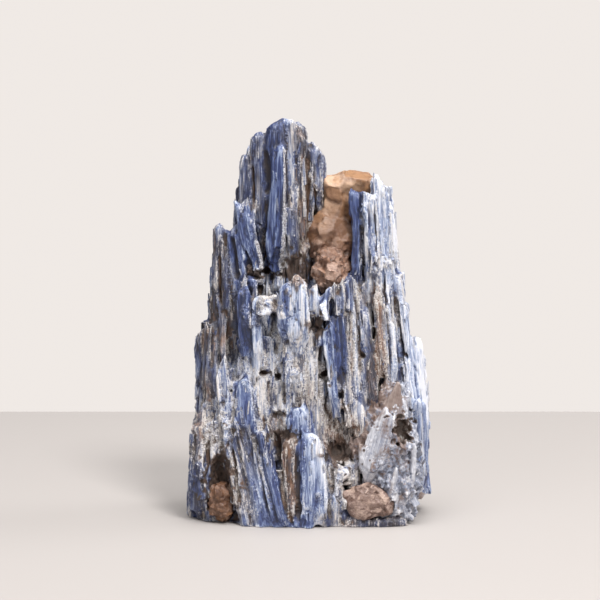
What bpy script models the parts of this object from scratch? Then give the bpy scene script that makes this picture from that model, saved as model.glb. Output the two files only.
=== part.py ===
"""Kyanite blade cluster: a free-standing mineral specimen.

Upright kyanite blades have grown into one fused mass. A stained quartz vein fills the cleft between
the crown and the right spire, two quartz lumps sit in the foot, and a mass of mica fills the right
of the foot. Each mineral is one solid, and they meet with a hair's gap.

Frame: metres, +Z up, the front faces -Y, and the origin is the middle of the flat base.
The tables hold millimetres, and new_object turns them into metres.
Run it with: blender --background --python part.py
"""

import math
import random
from collections import namedtuple

import bmesh
import bpy
from mathutils import Matrix, Vector, noise

MM = 0.001
SEED = 41

# Driving dimensions, in millimetres.
SEAT_GAP = 0.4  # between a lump of quartz or mica and the kyanite that holds it
FLOOR_BITE = 6.0  # how far columns and blades run below the base before it is cut flat
BASE_CUT_WIDTH = 240.0
BASE_CUT_DEPTH = 40.0

# A column's massive inside reaches this share of its outline, and blades make up the rest.
INSIDE_AT_FOOT = 0.88
INSIDE_AT_TOP = 0.62
COLUMN_SIDES = 7
COLUMN_TOP_RAGGED = 4.0

# Standing blades, as shares of the column's length or of the blade's own width.
BLADE_FOOT = (-0.1, 0.35)
BLADE_TIP = (0.72, 1.02)
BLADE_OVERLAP = (1.05, 1.5)
BLADE_THICK = (0.45, 0.7)
BLADE_SUNK = (0.1, 0.5)
BLADE_SLANT = 0.35
BLADE_TURN = 22.0  # degrees
TIP_TAPER = 0.86
TIP_RAGGED = 0.6
SECTION_SKEW = 0.35

# A column is a leaning bundle of blades. foot and top are its axis ends (x, y, z), foot_half and
# top_half its half width and half depth there. That many blades stand round it between the angles
# start and end, in degrees, where 0 faces +X and 270 faces the front. The heart stands inside them.
Column = namedtuple("Column", "name foot foot_half top top_half blades start end")
COLUMNS = (
    Column("heart", (-1, 2, 0), (37, 19), (0, 4, 94), (23, 11), 0, 0, 0),
    Column("crown_peak", (-6, 3, 62), (13, 13), (-9, 2, 155), (6.5, 6), 9, 0, 360),
    Column("crown_left", (-17, 4, 62), (8, 12), (-20.6, 3, 149), (4.0, 5), 6, 60, 320),
    Column("crown_edge", (-24, 5, 62), (7, 11), (-25.4, 5, 140), (2.8, 4.5), 6, 60, 320),
    Column("crown_right", (2, 5, 62), (9, 12), (2, 4, 142), (4.5, 6), 4, 240, 400),
    Column("cleft_back", (12, 9, 60), (9, 9), (13, 9, 128), (7, 5), 3, 20, 160),
    Column("left_shoulder", (-29, 4, 20), (12, 17), (-33.2, 3, 113), (5, 8), 7, 60, 320),
    Column("left_haunch", (-34.5, 1, 0), (9, 20), (-39, 1, 78), (4.8, 9), 6, 70, 320),
    Column("left_heel", (-38.5, -7, 0), (8.5, 17), (-41, -3, 42), (4, 12), 6, 80, 300),
    Column("right_spire", (23, 3, 30), (15, 17), (25.5, 2, 133), (6, 6.5), 8, 200, 470),
    Column("right_flank", (29, 2, 0), (12.5, 22), (30.5, 2, 97), (7, 10), 8, 250, 440),
    Column("right_edge", (41, 0, 15), (7.5, 16), (40.5, 1, 71), (3.4, 8), 6, 250, 430),
    Column("middle_left", (-17, -12, 0), (12, 13), (-21.5, -11, 84), (6.5, 7), 5, 190, 310),
    Column("middle_front", (-4, -13, 0), (15, 15), (-5, -13, 90), (9, 6), 6, 200, 350),
    Column("middle_right", (15, -11, 30), (12, 15), (15, -8, 104), (6, 6), 5, 200, 340),
    Column("front_fan", (-20, -15, 0), (16, 14), (-31, -11, 60), (7, 7), 6, 170, 320),
    Column("front_foot", (2, -19, 0), (12, 11), (1, -18, 36), (7, 6), 3, 200, 340),
    Column("back_middle", (-4, 14, 0), (26, 15), (-7, 10, 114), (13, 6), 7, 20, 160),
    Column("back_right", (24, 13, 0), (17, 16), (23, 10, 94), (9, 7), 6, 0, 150),
    Column("back_left", (-26, 13, 0), (17, 16), (-29, 9, 90), (9, 7), 6, 30, 180),
)

# A lead blade is placed by hand: its foot and tip (x, y, z), its width and thickness, the heading
# that its broad face looks in (degrees, 270 is the front), and how far its tip is cut aslant.
Lead = namedtuple("Lead", "name foot tip width thick heading slant")
LEADS = (
    Lead("long_blue", (-14.5, -7.5, 98), (-12.3, -7.8, 148), 5.6, 3.2, 262, 1.5),
    Lead("second_peak", (-19.0, -3.5, 110), (-21.2, -3.2, 151), 6.6, 5.0, 260, -1.0),
    Lead("third_peak", (-24.2, -2.5, 100), (-25.4, -1.5, 142), 5.0, 4.4, 250, -1.0),
    Lead("shoulder_tip", (-33.0, -7.0, 84), (-34.4, -4.0, 115), 6.6, 5.0, 240, -1.0),
    Lead("peak_dark", (-13.4, -5.0, 118), (-14.2, -4.6, 157), 8.0, 4.5, 258, 2.0),
    Lead("peak_pale", (-7.6, -5.6, 112), (-9.4, -5.0, 159), 5.0, 4.0, 282, -1.0),
    Lead("peak_olive", (-2.2, -4.2, 104), (-5.0, -3.4, 155), 6.0, 5.0, 286, -3.0),
    Lead("crown_slope", (3.6, -3.2, 96), (2.2, -2.6, 147.5), 6.4, 5.0, 296, -4.0),
    Lead("crown_smoky", (-6.2, -10.5, 102), (-7.4, -10.0, 125), 4.6, 2.4, 268, 1.6),
    Lead("fan_tip", (-20.6, -11.5, 94), (-26.8, -8.5, 125.5), 7.4, 4.0, 250, 3.0),
    Lead("fan_dark", (-24.5, -10.5, 84), (-30.2, -7.0, 115), 6.0, 4.0, 244, 2.0),
    Lead("middle_navy", (-25.0, -19.0, 66), (-26.5, -17.0, 93), 5.6, 3.5, 262, 1.0),
    Lead("middle_pale", (-21.0, -21.5, 58), (-20.8, -20.5, 90), 3.4, 3.0, 275, 1.0),
    Lead("tooth", (-6.5, -24.5, 56), (-5.6, -22.0, 97), 11.5, 4.5, 264, 2.0),
    Lead("white_chip", (3.4, -22.0, 70), (3.0, -21.0, 89), 4.0, 2.2, 280, 2.5),
    Lead("slim_blue", (10.0, -24.0, 42), (6.0, -21.0, 78), 4.2, 3.0, 276, 2.0),
    Lead("navy_pair", (12.0, -21.0, 56), (9.6, -18.5, 84), 5.0, 3.4, 284, 2.0),
    Lead("spire_navy", (17.4, -12.5, 92), (17.4, -11.0, 131), 5.6, 4.2, 262, -1.5),
    Lead("spire_pale", (25.0, -13.5, 84), (22.6, -11.5, 130), 6.6, 3.6, 280, -2.0),
    Lead("spire_edge", (31.0, -9.0, 84), (27.5, -7.4, 134), 6.4, 4.0, 300, -5.0),
    Lead("flank_long", (33.5, -19.5, 34), (29.0, -14.0, 86), 6.4, 3.4, 284, -2.0),
    Lead("flank_mid", (24.5, -21.5, 40), (20.5, -17.0, 84), 6.0, 3.4, 274, 2.0),
    Lead("flank_edge", (41.0, -12.0, 30), (36.4, -8.0, 84), 6.0, 4.0, 312, -3.0),
    Lead("bright_edge", (45.0, -6.0, 28), (42.0, -5.0, 71), 7.0, 3.2, 340, -3.0),
    Lead("blue_square", (-4.8, -25.6, 34), (-5.4, -25.2, 46.5), 8.2, 3.0, 270, 0.5),
    Lead("broad_pale", (0.6, -30.0, 4), (0.4, -28.0, 35), 11.0, 4.4, 278, -4.0),
    Lead("brown_column", (-8.0, -28.4, -4), (-8.6, -27.0, 34.5), 6.4, 4.0, 262, 1.5),
    Lead("fan_long_a", (-18.0, -29.0, -4), (-27.0, -22.0, 44), 6.4, 4.0, 268, 2.0),
    Lead("fan_long_b", (-12.4, -29.4, -4), (-18.6, -24.0, 38), 5.6, 3.6, 272, 1.5),
    Lead("fan_long_c", (-24.5, -27.5, -4), (-31.0, -21.0, 34), 6.0, 3.6, 262, 2.0),
    Lead("fan_face", (-24.0, -23.0, 34), (-26.6, -20.0, 57), 6.6, 3.4, 264, 2.0),
    Lead("fan_shard", (-32.6, -19.5, 36), (-35.2, -17.5, 64), 5.0, 3.0, 256, 3.0),
    Lead("heel_blade", (-43.4, -13.0, -4), (-42.4, -10.0, 40), 5.6, 4.0, 230, 2.0),
    Lead("foot_blue", (-3.0, -28.6, -4), (-2.6, -28.0, 9), 7.4, 4.0, 268, 1.5),
    Lead("foot_violet", (7.4, -27.0, -4), (6.0, -26.0, 15), 7.2, 4.4, 284, -3.0),
    Lead("foot_slab", (19.0, -24.5, -4), (19.0, -24.0, 4), 26.0, 9.0, 276, 0.5),
)
LEAD_SIDES = 6

# A lump is a rough ball of another mineral, or a hollow: its middle, its half sizes, how many times
# its ball is split, how rough it is, and the seed of its roughness.
Lump = namedtuple("Lump", "name middle half splits rough seed")
QUARTZ_VEIN = (
    Lump("vein_top", (11.2, 0.5, 126.0), (8.8, 9.5, 12.0), 2, 1.6, 3),
    Lump("vein_bridge", (19.0, 1.5, 132.4), (7.0, 7.5, 5.6), 2, 0.8, 5),
    Lump("vein_neck", (8.0, -4.0, 111.0), (8.8, 9.4, 12.5), 2, 2.0, 7),
    Lump("vein_tail", (8.0, -10.0, 99.0), (7.2, 8.4, 10.0), 2, 1.4, 11),
)
FOOT_QUARTZ = (Lump("foot_quartz", (22.2, -27.0, 9.6), (9.6, 5.0, 6.4), 2, 1.6, 13),)
POCKET_QUARTZ = (Lump("pocket_quartz", (-35.4, -19.6, 8.4), (5.2, 5.4, 8.0), 2, 1.2, 17),)
MICA_MASS = (
    Lump("mica_low", (32.0, -19.0, 15.0), (11.6, 10.4, 16.5), 2, 2.0, 19),
    Lump("mica_high", (28.6, -19.0, 32.0), (13.4, 9.6, 15.0), 2, 2.2, 23),
    Lump("mica_peak", (33.0, -17.0, 45.0), (7.4, 7.0, 11.0), 2, 1.2, 53),
)
HOLLOWS = (
    Lump("arch", (-36.0, -24.5, 16.0), (4.6, 9.5, 13.0), 2, 0.5, 29),
    Lump("crown_cave", (-4.0, -16.0, 99.0), (7.0, 8.0, 6.5), 2, 0.7, 31),
    Lump("foot_cave", (11.0, -27.0, 29.0), (4.6, 9.0, 4.4), 2, 0.6, 37),
    Lump("middle_cave", (2.4, -26.5, 78.0), (3.6, 6.0, 3.8), 2, 0.4, 43),
    Lump("left_cave", (-11.6, -29.0, 36.0), (3.0, 5.0, 3.0), 2, 0.3, 47),
)

KYANITE_COLOUR = (0.20, 0.27, 0.45, 1.0)
VEIN_COLOUR = (0.62, 0.42, 0.27, 1.0)
FOOT_QUARTZ_COLOUR = (0.58, 0.42, 0.34, 1.0)
POCKET_QUARTZ_COLOUR = (0.52, 0.30, 0.17, 1.0)
MICA_COLOUR = (0.50, 0.50, 0.52, 1.0)


def clear_scene():
    for obj in list(bpy.data.objects):
        bpy.data.objects.remove(obj, do_unlink=True)


def new_collection(name):
    collection = bpy.data.collections.new(name)
    bpy.context.scene.collection.children.link(collection)
    return collection


def new_object(name, bm, collection):
    """An object made of a bmesh in millimetres, drawn as a wire because it only joins or cuts."""
    bmesh.ops.scale(bm, vec=(MM, MM, MM), verts=bm.verts)
    bmesh.ops.recalc_face_normals(bm, faces=bm.faces)
    mesh = bpy.data.meshes.new(name)
    bm.to_mesh(mesh)
    bm.free()
    obj = bpy.data.objects.new(name, mesh)
    obj.hide_render = True
    obj.display_type = "WIRE"
    collection.objects.link(obj)
    return obj


def heading_vector(degrees):
    angle = math.radians(degrees)
    return Vector((math.cos(angle), math.sin(angle), 0.0))


def column_inside(column, rng, collection):
    """The column's massive inside: a tapered cone with an oval section and a ragged top."""
    foot = Vector(column.foot) - Vector((0, 0, FLOOR_BITE))
    top = Vector(column.top)
    bm = bmesh.new()
    bmesh.ops.create_cone(
        bm, cap_ends=True, segments=COLUMN_SIDES, radius1=1.0, radius2=1.0, depth=2.0
    )
    for vert in bm.verts:
        x, y, z = vert.co
        if z > 0:
            half = Vector(column.top_half) * INSIDE_AT_TOP
            ragged = rng.uniform(-1.0, 0.4) * COLUMN_TOP_RAGGED
            vert.co = top + Vector((x * half.x, y * half.y, ragged))
        else:
            half = Vector(column.foot_half) * INSIDE_AT_FOOT
            vert.co = foot + Vector((x * half.x, y * half.y, 0.0))
    bmesh.ops.triangulate(bm, faces=[face for face in bm.faces if len(face.verts) > 4])
    new_object(column.name, bm, collection)


def place_blade(name, bm, foot, tip, width, thick, heading, slant, rng, collection):
    """Turn a unit prism into a blade: flattened, tapered, skewed in section and broken at its tip.

    X runs across the blade, Y in from its broad face and Z along it. A slant above 0 lifts the tip's
    +X side, which is the right-hand side as its broad face is looked at.
    """
    along = (tip - foot).normalized()
    facing = heading_vector(heading)
    inward = (along * facing.dot(along) - facing).normalized()
    across = inward.cross(along)
    length = (tip - foot).length
    skew = rng.uniform(-SECTION_SKEW, SECTION_SKEW)
    for vert in bm.verts:
        x, y, z = vert.co
        x += skew * y
        if z > 0:
            ragged = rng.uniform(-TIP_RAGGED, TIP_RAGGED)
            vert.co = (x * width * TIP_TAPER, y * thick, length + slant * 2 * x + ragged)
        else:
            vert.co = (x * width, y * thick, 0.0)
    place = Matrix.Translation(foot) @ Matrix((across, inward, along)).transposed().to_4x4()
    bmesh.ops.transform(bm, matrix=place, verts=bm.verts)
    new_object(name, bm, collection)


def standing_blades(column, rng, collection):
    """The blades that stand round a column, each sunk a little into its side."""
    foot, top = Vector(column.foot), Vector(column.top)
    span = column.end - column.start
    mean_half = sum(column.foot_half + column.top_half) / 4
    for index in range(column.blades):
        turn = column.start + span * (index + rng.uniform(0.3, 0.7)) / column.blades
        side = heading_vector(turn)
        low = foot + Vector((side.x * column.foot_half[0], side.y * column.foot_half[1], 0))
        high = top + Vector((side.x * column.top_half[0], side.y * column.top_half[1], 0))
        share = math.radians(span) * mean_half / column.blades
        width = share * rng.uniform(*BLADE_OVERLAP)
        thick = width * rng.uniform(*BLADE_THICK)
        sunk = side * thick * rng.uniform(*BLADE_SUNK)
        bm = bmesh.new()
        bmesh.ops.create_cube(bm, size=1.0)
        place_blade(
            f"{column.name}_blade_{index}",
            bm,
            low.lerp(high, rng.uniform(*BLADE_FOOT)) - sunk,
            low.lerp(high, rng.uniform(*BLADE_TIP)) - sunk,
            width,
            thick,
            turn + rng.uniform(-BLADE_TURN, BLADE_TURN),
            rng.uniform(-BLADE_SLANT, BLADE_SLANT) * width,
            rng,
            collection,
        )


def lead_blade(lead, rng, collection):
    bm = bmesh.new()
    bmesh.ops.create_cone(
        bm, cap_ends=True, segments=LEAD_SIDES, radius1=0.5, radius2=0.5, depth=1.0
    )
    for vert in bm.verts:
        if abs(vert.co.x) < 0.35:
            vert.co.x *= 1.5  # a blade's broad faces take up most of its width
    place_blade(
        lead.name,
        bm,
        Vector(lead.foot),
        Vector(lead.tip),
        lead.width,
        lead.thick,
        lead.heading,
        lead.slant,
        rng,
        collection,
    )


def add_lumps(lumps, grow, collection):
    """Rough balls whose corners smooth noise pushes in and out, each grown by a margin."""
    for lump in lumps:
        bm = bmesh.new()
        bmesh.ops.create_icosphere(bm, subdivisions=lump.splits, radius=1.0)
        middle, half = Vector(lump.middle), Vector(lump.half)
        for vert in bm.verts:
            ray = vert.co.normalized()
            push = noise.noise(ray * 1.7 + Vector((lump.seed, 0, 0))) * lump.rough * 2
            vert.co = middle + ray * half + ray * (push + grow)
        new_object(lump.name, bm, collection)


def add_base_cut(collection):
    bm = bmesh.new()
    bmesh.ops.create_cube(bm, size=1.0)
    size = Vector((BASE_CUT_WIDTH, BASE_CUT_WIDTH, BASE_CUT_DEPTH))
    for vert in bm.verts:
        vert.co = vert.co * size - Vector((0, 0, BASE_CUT_DEPTH / 2))
    new_object("base_cut", bm, collection)


def add_boolean(obj, operation, collection):
    modifier = obj.modifiers.new(operation.lower(), "BOOLEAN")
    modifier.operation = operation
    modifier.solver = "EXACT"
    modifier.operand_type = "COLLECTION"
    modifier.collection = collection


def grow_together(name, grown, cutters, specimen):
    """One solid of all that has grown in a collection, less its cutters and any loose chip."""
    seed_crystal = grown.objects[0]
    solid = bpy.data.objects.new(name, seed_crystal.data)
    bpy.data.objects.remove(seed_crystal)
    specimen.objects.link(solid)
    add_boolean(solid, "UNION", grown)
    add_boolean(solid, "DIFFERENCE", cutters)
    graph = bpy.context.evaluated_depsgraph_get()
    mesh = bpy.data.meshes.new_from_object(solid.evaluated_get(graph))
    mesh.name = name
    solid.modifiers.clear()
    solid.data = mesh
    drop_loose_chips(mesh)
    return solid


def drop_loose_chips(mesh):
    bm = bmesh.new()
    bm.from_mesh(mesh)
    unseen = set(bm.verts)
    islands = []
    while unseen:
        island = [unseen.pop()]
        for vert in island:
            for edge in vert.link_edges:
                neighbour = edge.other_vert(vert)
                if neighbour in unseen:
                    unseen.remove(neighbour)
                    island.append(neighbour)
        islands.append(island)
    islands.sort(key=len)
    for chip in islands[:-1]:
        bmesh.ops.delete(bm, geom=chip, context="VERTS")
    bm.to_mesh(mesh)
    bm.free()


def give_material(obj, colour, roughness):
    material = bpy.data.materials.new(obj.name)
    material.use_nodes = True
    shader = material.node_tree.nodes["Principled BSDF"]
    shader.inputs["Base Color"].default_value = colour
    shader.inputs["Roughness"].default_value = roughness
    obj.data.materials.clear()
    obj.data.materials.append(material)


def build_kyanite(specimen):
    rng = random.Random(SEED)
    grown = new_collection("kyanite_grown_together")
    for column in COLUMNS:
        column_inside(column, rng, grown)
        standing_blades(column, rng, grown)
    for lead in LEADS:
        lead_blade(lead, rng, grown)
    cutters = new_collection("kyanite_cutters")
    add_base_cut(cutters)
    add_lumps(HOLLOWS, 0.0, cutters)
    add_lumps(QUARTZ_VEIN + FOOT_QUARTZ + POCKET_QUARTZ + MICA_MASS, SEAT_GAP, cutters)
    solid = grow_together("kyanite_blades", grown, cutters, specimen)
    give_material(solid, KYANITE_COLOUR, 0.38)


def build_lumps(name, lumps, neighbours, colour, roughness, specimen):
    grown = new_collection(name + "_grown_together")
    add_lumps(lumps, 0.0, grown)
    cutters = new_collection(name + "_cutters")
    add_base_cut(cutters)
    add_lumps(neighbours, SEAT_GAP, cutters)
    solid = grow_together(name, grown, cutters, specimen)
    give_material(solid, colour, roughness)


def main():
    clear_scene()
    specimen = new_collection("kyanite_blade_cluster")
    build_kyanite(specimen)
    build_lumps("quartz_vein", QUARTZ_VEIN, (), VEIN_COLOUR, 0.45, specimen)
    build_lumps("quartz_foot_lump", FOOT_QUARTZ, (), FOOT_QUARTZ_COLOUR, 0.5, specimen)
    build_lumps("quartz_pocket_lump", POCKET_QUARTZ, (), POCKET_QUARTZ_COLOUR, 0.5, specimen)
    build_lumps("mica_mass", MICA_MASS, FOOT_QUARTZ, MICA_COLOUR, 0.42, specimen)


main()
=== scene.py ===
"""Kyanite blade cluster: the finish of every surface, laid out as a Blender add-on.

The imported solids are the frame. The kyanite is one skin: blades are planted over its solid, grown
together with it and weathered, and thin splinters are laid on it. The quartz is broken into facets,
and the mica is one skin of fused flakes and plates.
Lengths in the tables are millimetres, and the settings hold metres, as Blender does.
"""

import math
from collections import namedtuple
from dataclasses import dataclass, field, replace

import bmesh
import bpy
import numpy as np
from bpy.props import FloatProperty, FloatVectorProperty, IntProperty, PointerProperty
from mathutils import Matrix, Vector
from mathutils.bvhtree import BVHTree
from mathutils.kdtree import KDTree


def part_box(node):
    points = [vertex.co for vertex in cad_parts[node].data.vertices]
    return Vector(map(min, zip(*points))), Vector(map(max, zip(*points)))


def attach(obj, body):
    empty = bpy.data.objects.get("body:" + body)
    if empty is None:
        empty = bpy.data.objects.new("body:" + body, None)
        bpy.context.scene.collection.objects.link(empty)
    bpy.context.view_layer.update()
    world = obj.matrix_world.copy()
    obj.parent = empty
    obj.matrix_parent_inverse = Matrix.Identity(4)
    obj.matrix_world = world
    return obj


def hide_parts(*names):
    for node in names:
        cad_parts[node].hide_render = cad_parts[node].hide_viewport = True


bl_info = {
    "name": "Kyanite Blade Cluster",
    "version": (1, 0, 0),
    "blender": (4, 5, 0),
    "location": "3D View > Sidebar > Kyanite",
    "description": "Grows a kyanite blade cluster over its packed solids",
    "category": "Object",
}

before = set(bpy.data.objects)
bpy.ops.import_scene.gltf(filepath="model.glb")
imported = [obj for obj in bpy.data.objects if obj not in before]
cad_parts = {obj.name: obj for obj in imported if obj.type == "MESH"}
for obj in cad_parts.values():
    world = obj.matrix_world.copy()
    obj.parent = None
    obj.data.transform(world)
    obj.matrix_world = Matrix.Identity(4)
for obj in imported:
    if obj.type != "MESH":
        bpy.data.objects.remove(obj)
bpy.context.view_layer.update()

MM = 0.001
FRONT = 270.0  # the heading that faces the viewer, in degrees
INWARD = Vector((0, 1, 0))  # the way that a ray from the front goes
FRONT_Y = -120  # where such a ray starts

# ---- Where the crystals stand, in millimetres ----


def table(kind, *rows):
    """Rows of one kind, each from its values in order."""
    return tuple(kind(*row) for row in rows)


# A column is a leaning bundle of blades: its axis ends, its half width and half depth at each, and
# the stretch of headings, from start to end, that its blades stand on.
Column = namedtuple("Column", "name foot foot_half top top_half blades start end")
COLUMNS = table(
    Column,
    ("crown_peak", (-6, 3, 62), (13, 13), (-9, 2, 155), (6.5, 6), 12, 0, 360),
    ("crown_left", (-17, 4, 62), (8, 12), (-20.6, 3, 149), (4.0, 5), 9, 60, 320),
    ("crown_edge", (-24, 5, 62), (7, 11), (-25.4, 5, 140), (2.8, 4.5), 9, 60, 320),
    ("crown_right", (2, 5, 62), (9, 12), (2, 4, 142), (4.5, 6), 8, 200, 420),
    ("cleft_back", (12, 9, 60), (9, 9), (13, 9, 128), (7, 5), 6, 20, 160),
    ("left_shoulder", (-29, 4, 20), (12, 17), (-33.2, 3, 113), (5, 8), 12, 60, 320),
    ("left_haunch", (-34.5, 1, 0), (9, 20), (-39, 1, 78), (4.8, 9), 12, 70, 320),
    ("left_heel", (-38.5, -7, 0), (8.5, 17), (-41, -3, 42), (4, 12), 10, 80, 300),
    ("right_spire", (23, 3, 30), (15, 17), (25.5, 2, 133), (6, 6.5), 13, 200, 470),
    ("right_flank", (29, 2, 0), (12.5, 22), (30.5, 2, 97), (7, 10), 13, 250, 440),
    ("right_edge", (41, 0, 15), (7.5, 16), (40.5, 1, 71), (3.4, 8), 10, 250, 430),
    ("middle_left", (-17, -12, 0), (12, 13), (-21.5, -11, 84), (6.5, 7), 10, 190, 320),
    ("middle_front", (-4, -13, 0), (15, 15), (-5, -13, 90), (9, 6), 13, 195, 350),
    ("middle_right", (15, -11, 30), (12, 15), (15, -8, 104), (6, 6), 9, 200, 340),
    ("front_fan", (-18, -15, 0), (16, 14), (-33, -11, 60), (6, 7), 10, 170, 320),
    ("front_foot", (2, -19, 0), (12, 11), (1, -18, 36), (7, 6), 6, 200, 340),
    ("back_middle", (-4, 14, 0), (26, 15), (-7, 10, 114), (13, 6), 13, 20, 160),
    ("back_right", (24, 13, 0), (17, 16), (23, 10, 94), (9, 7), 10, 0, 150),
    ("back_left", (-26, 13, 0), (17, 16), (-29, 9, 90), (9, 7), 10, 30, 180),
)

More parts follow.
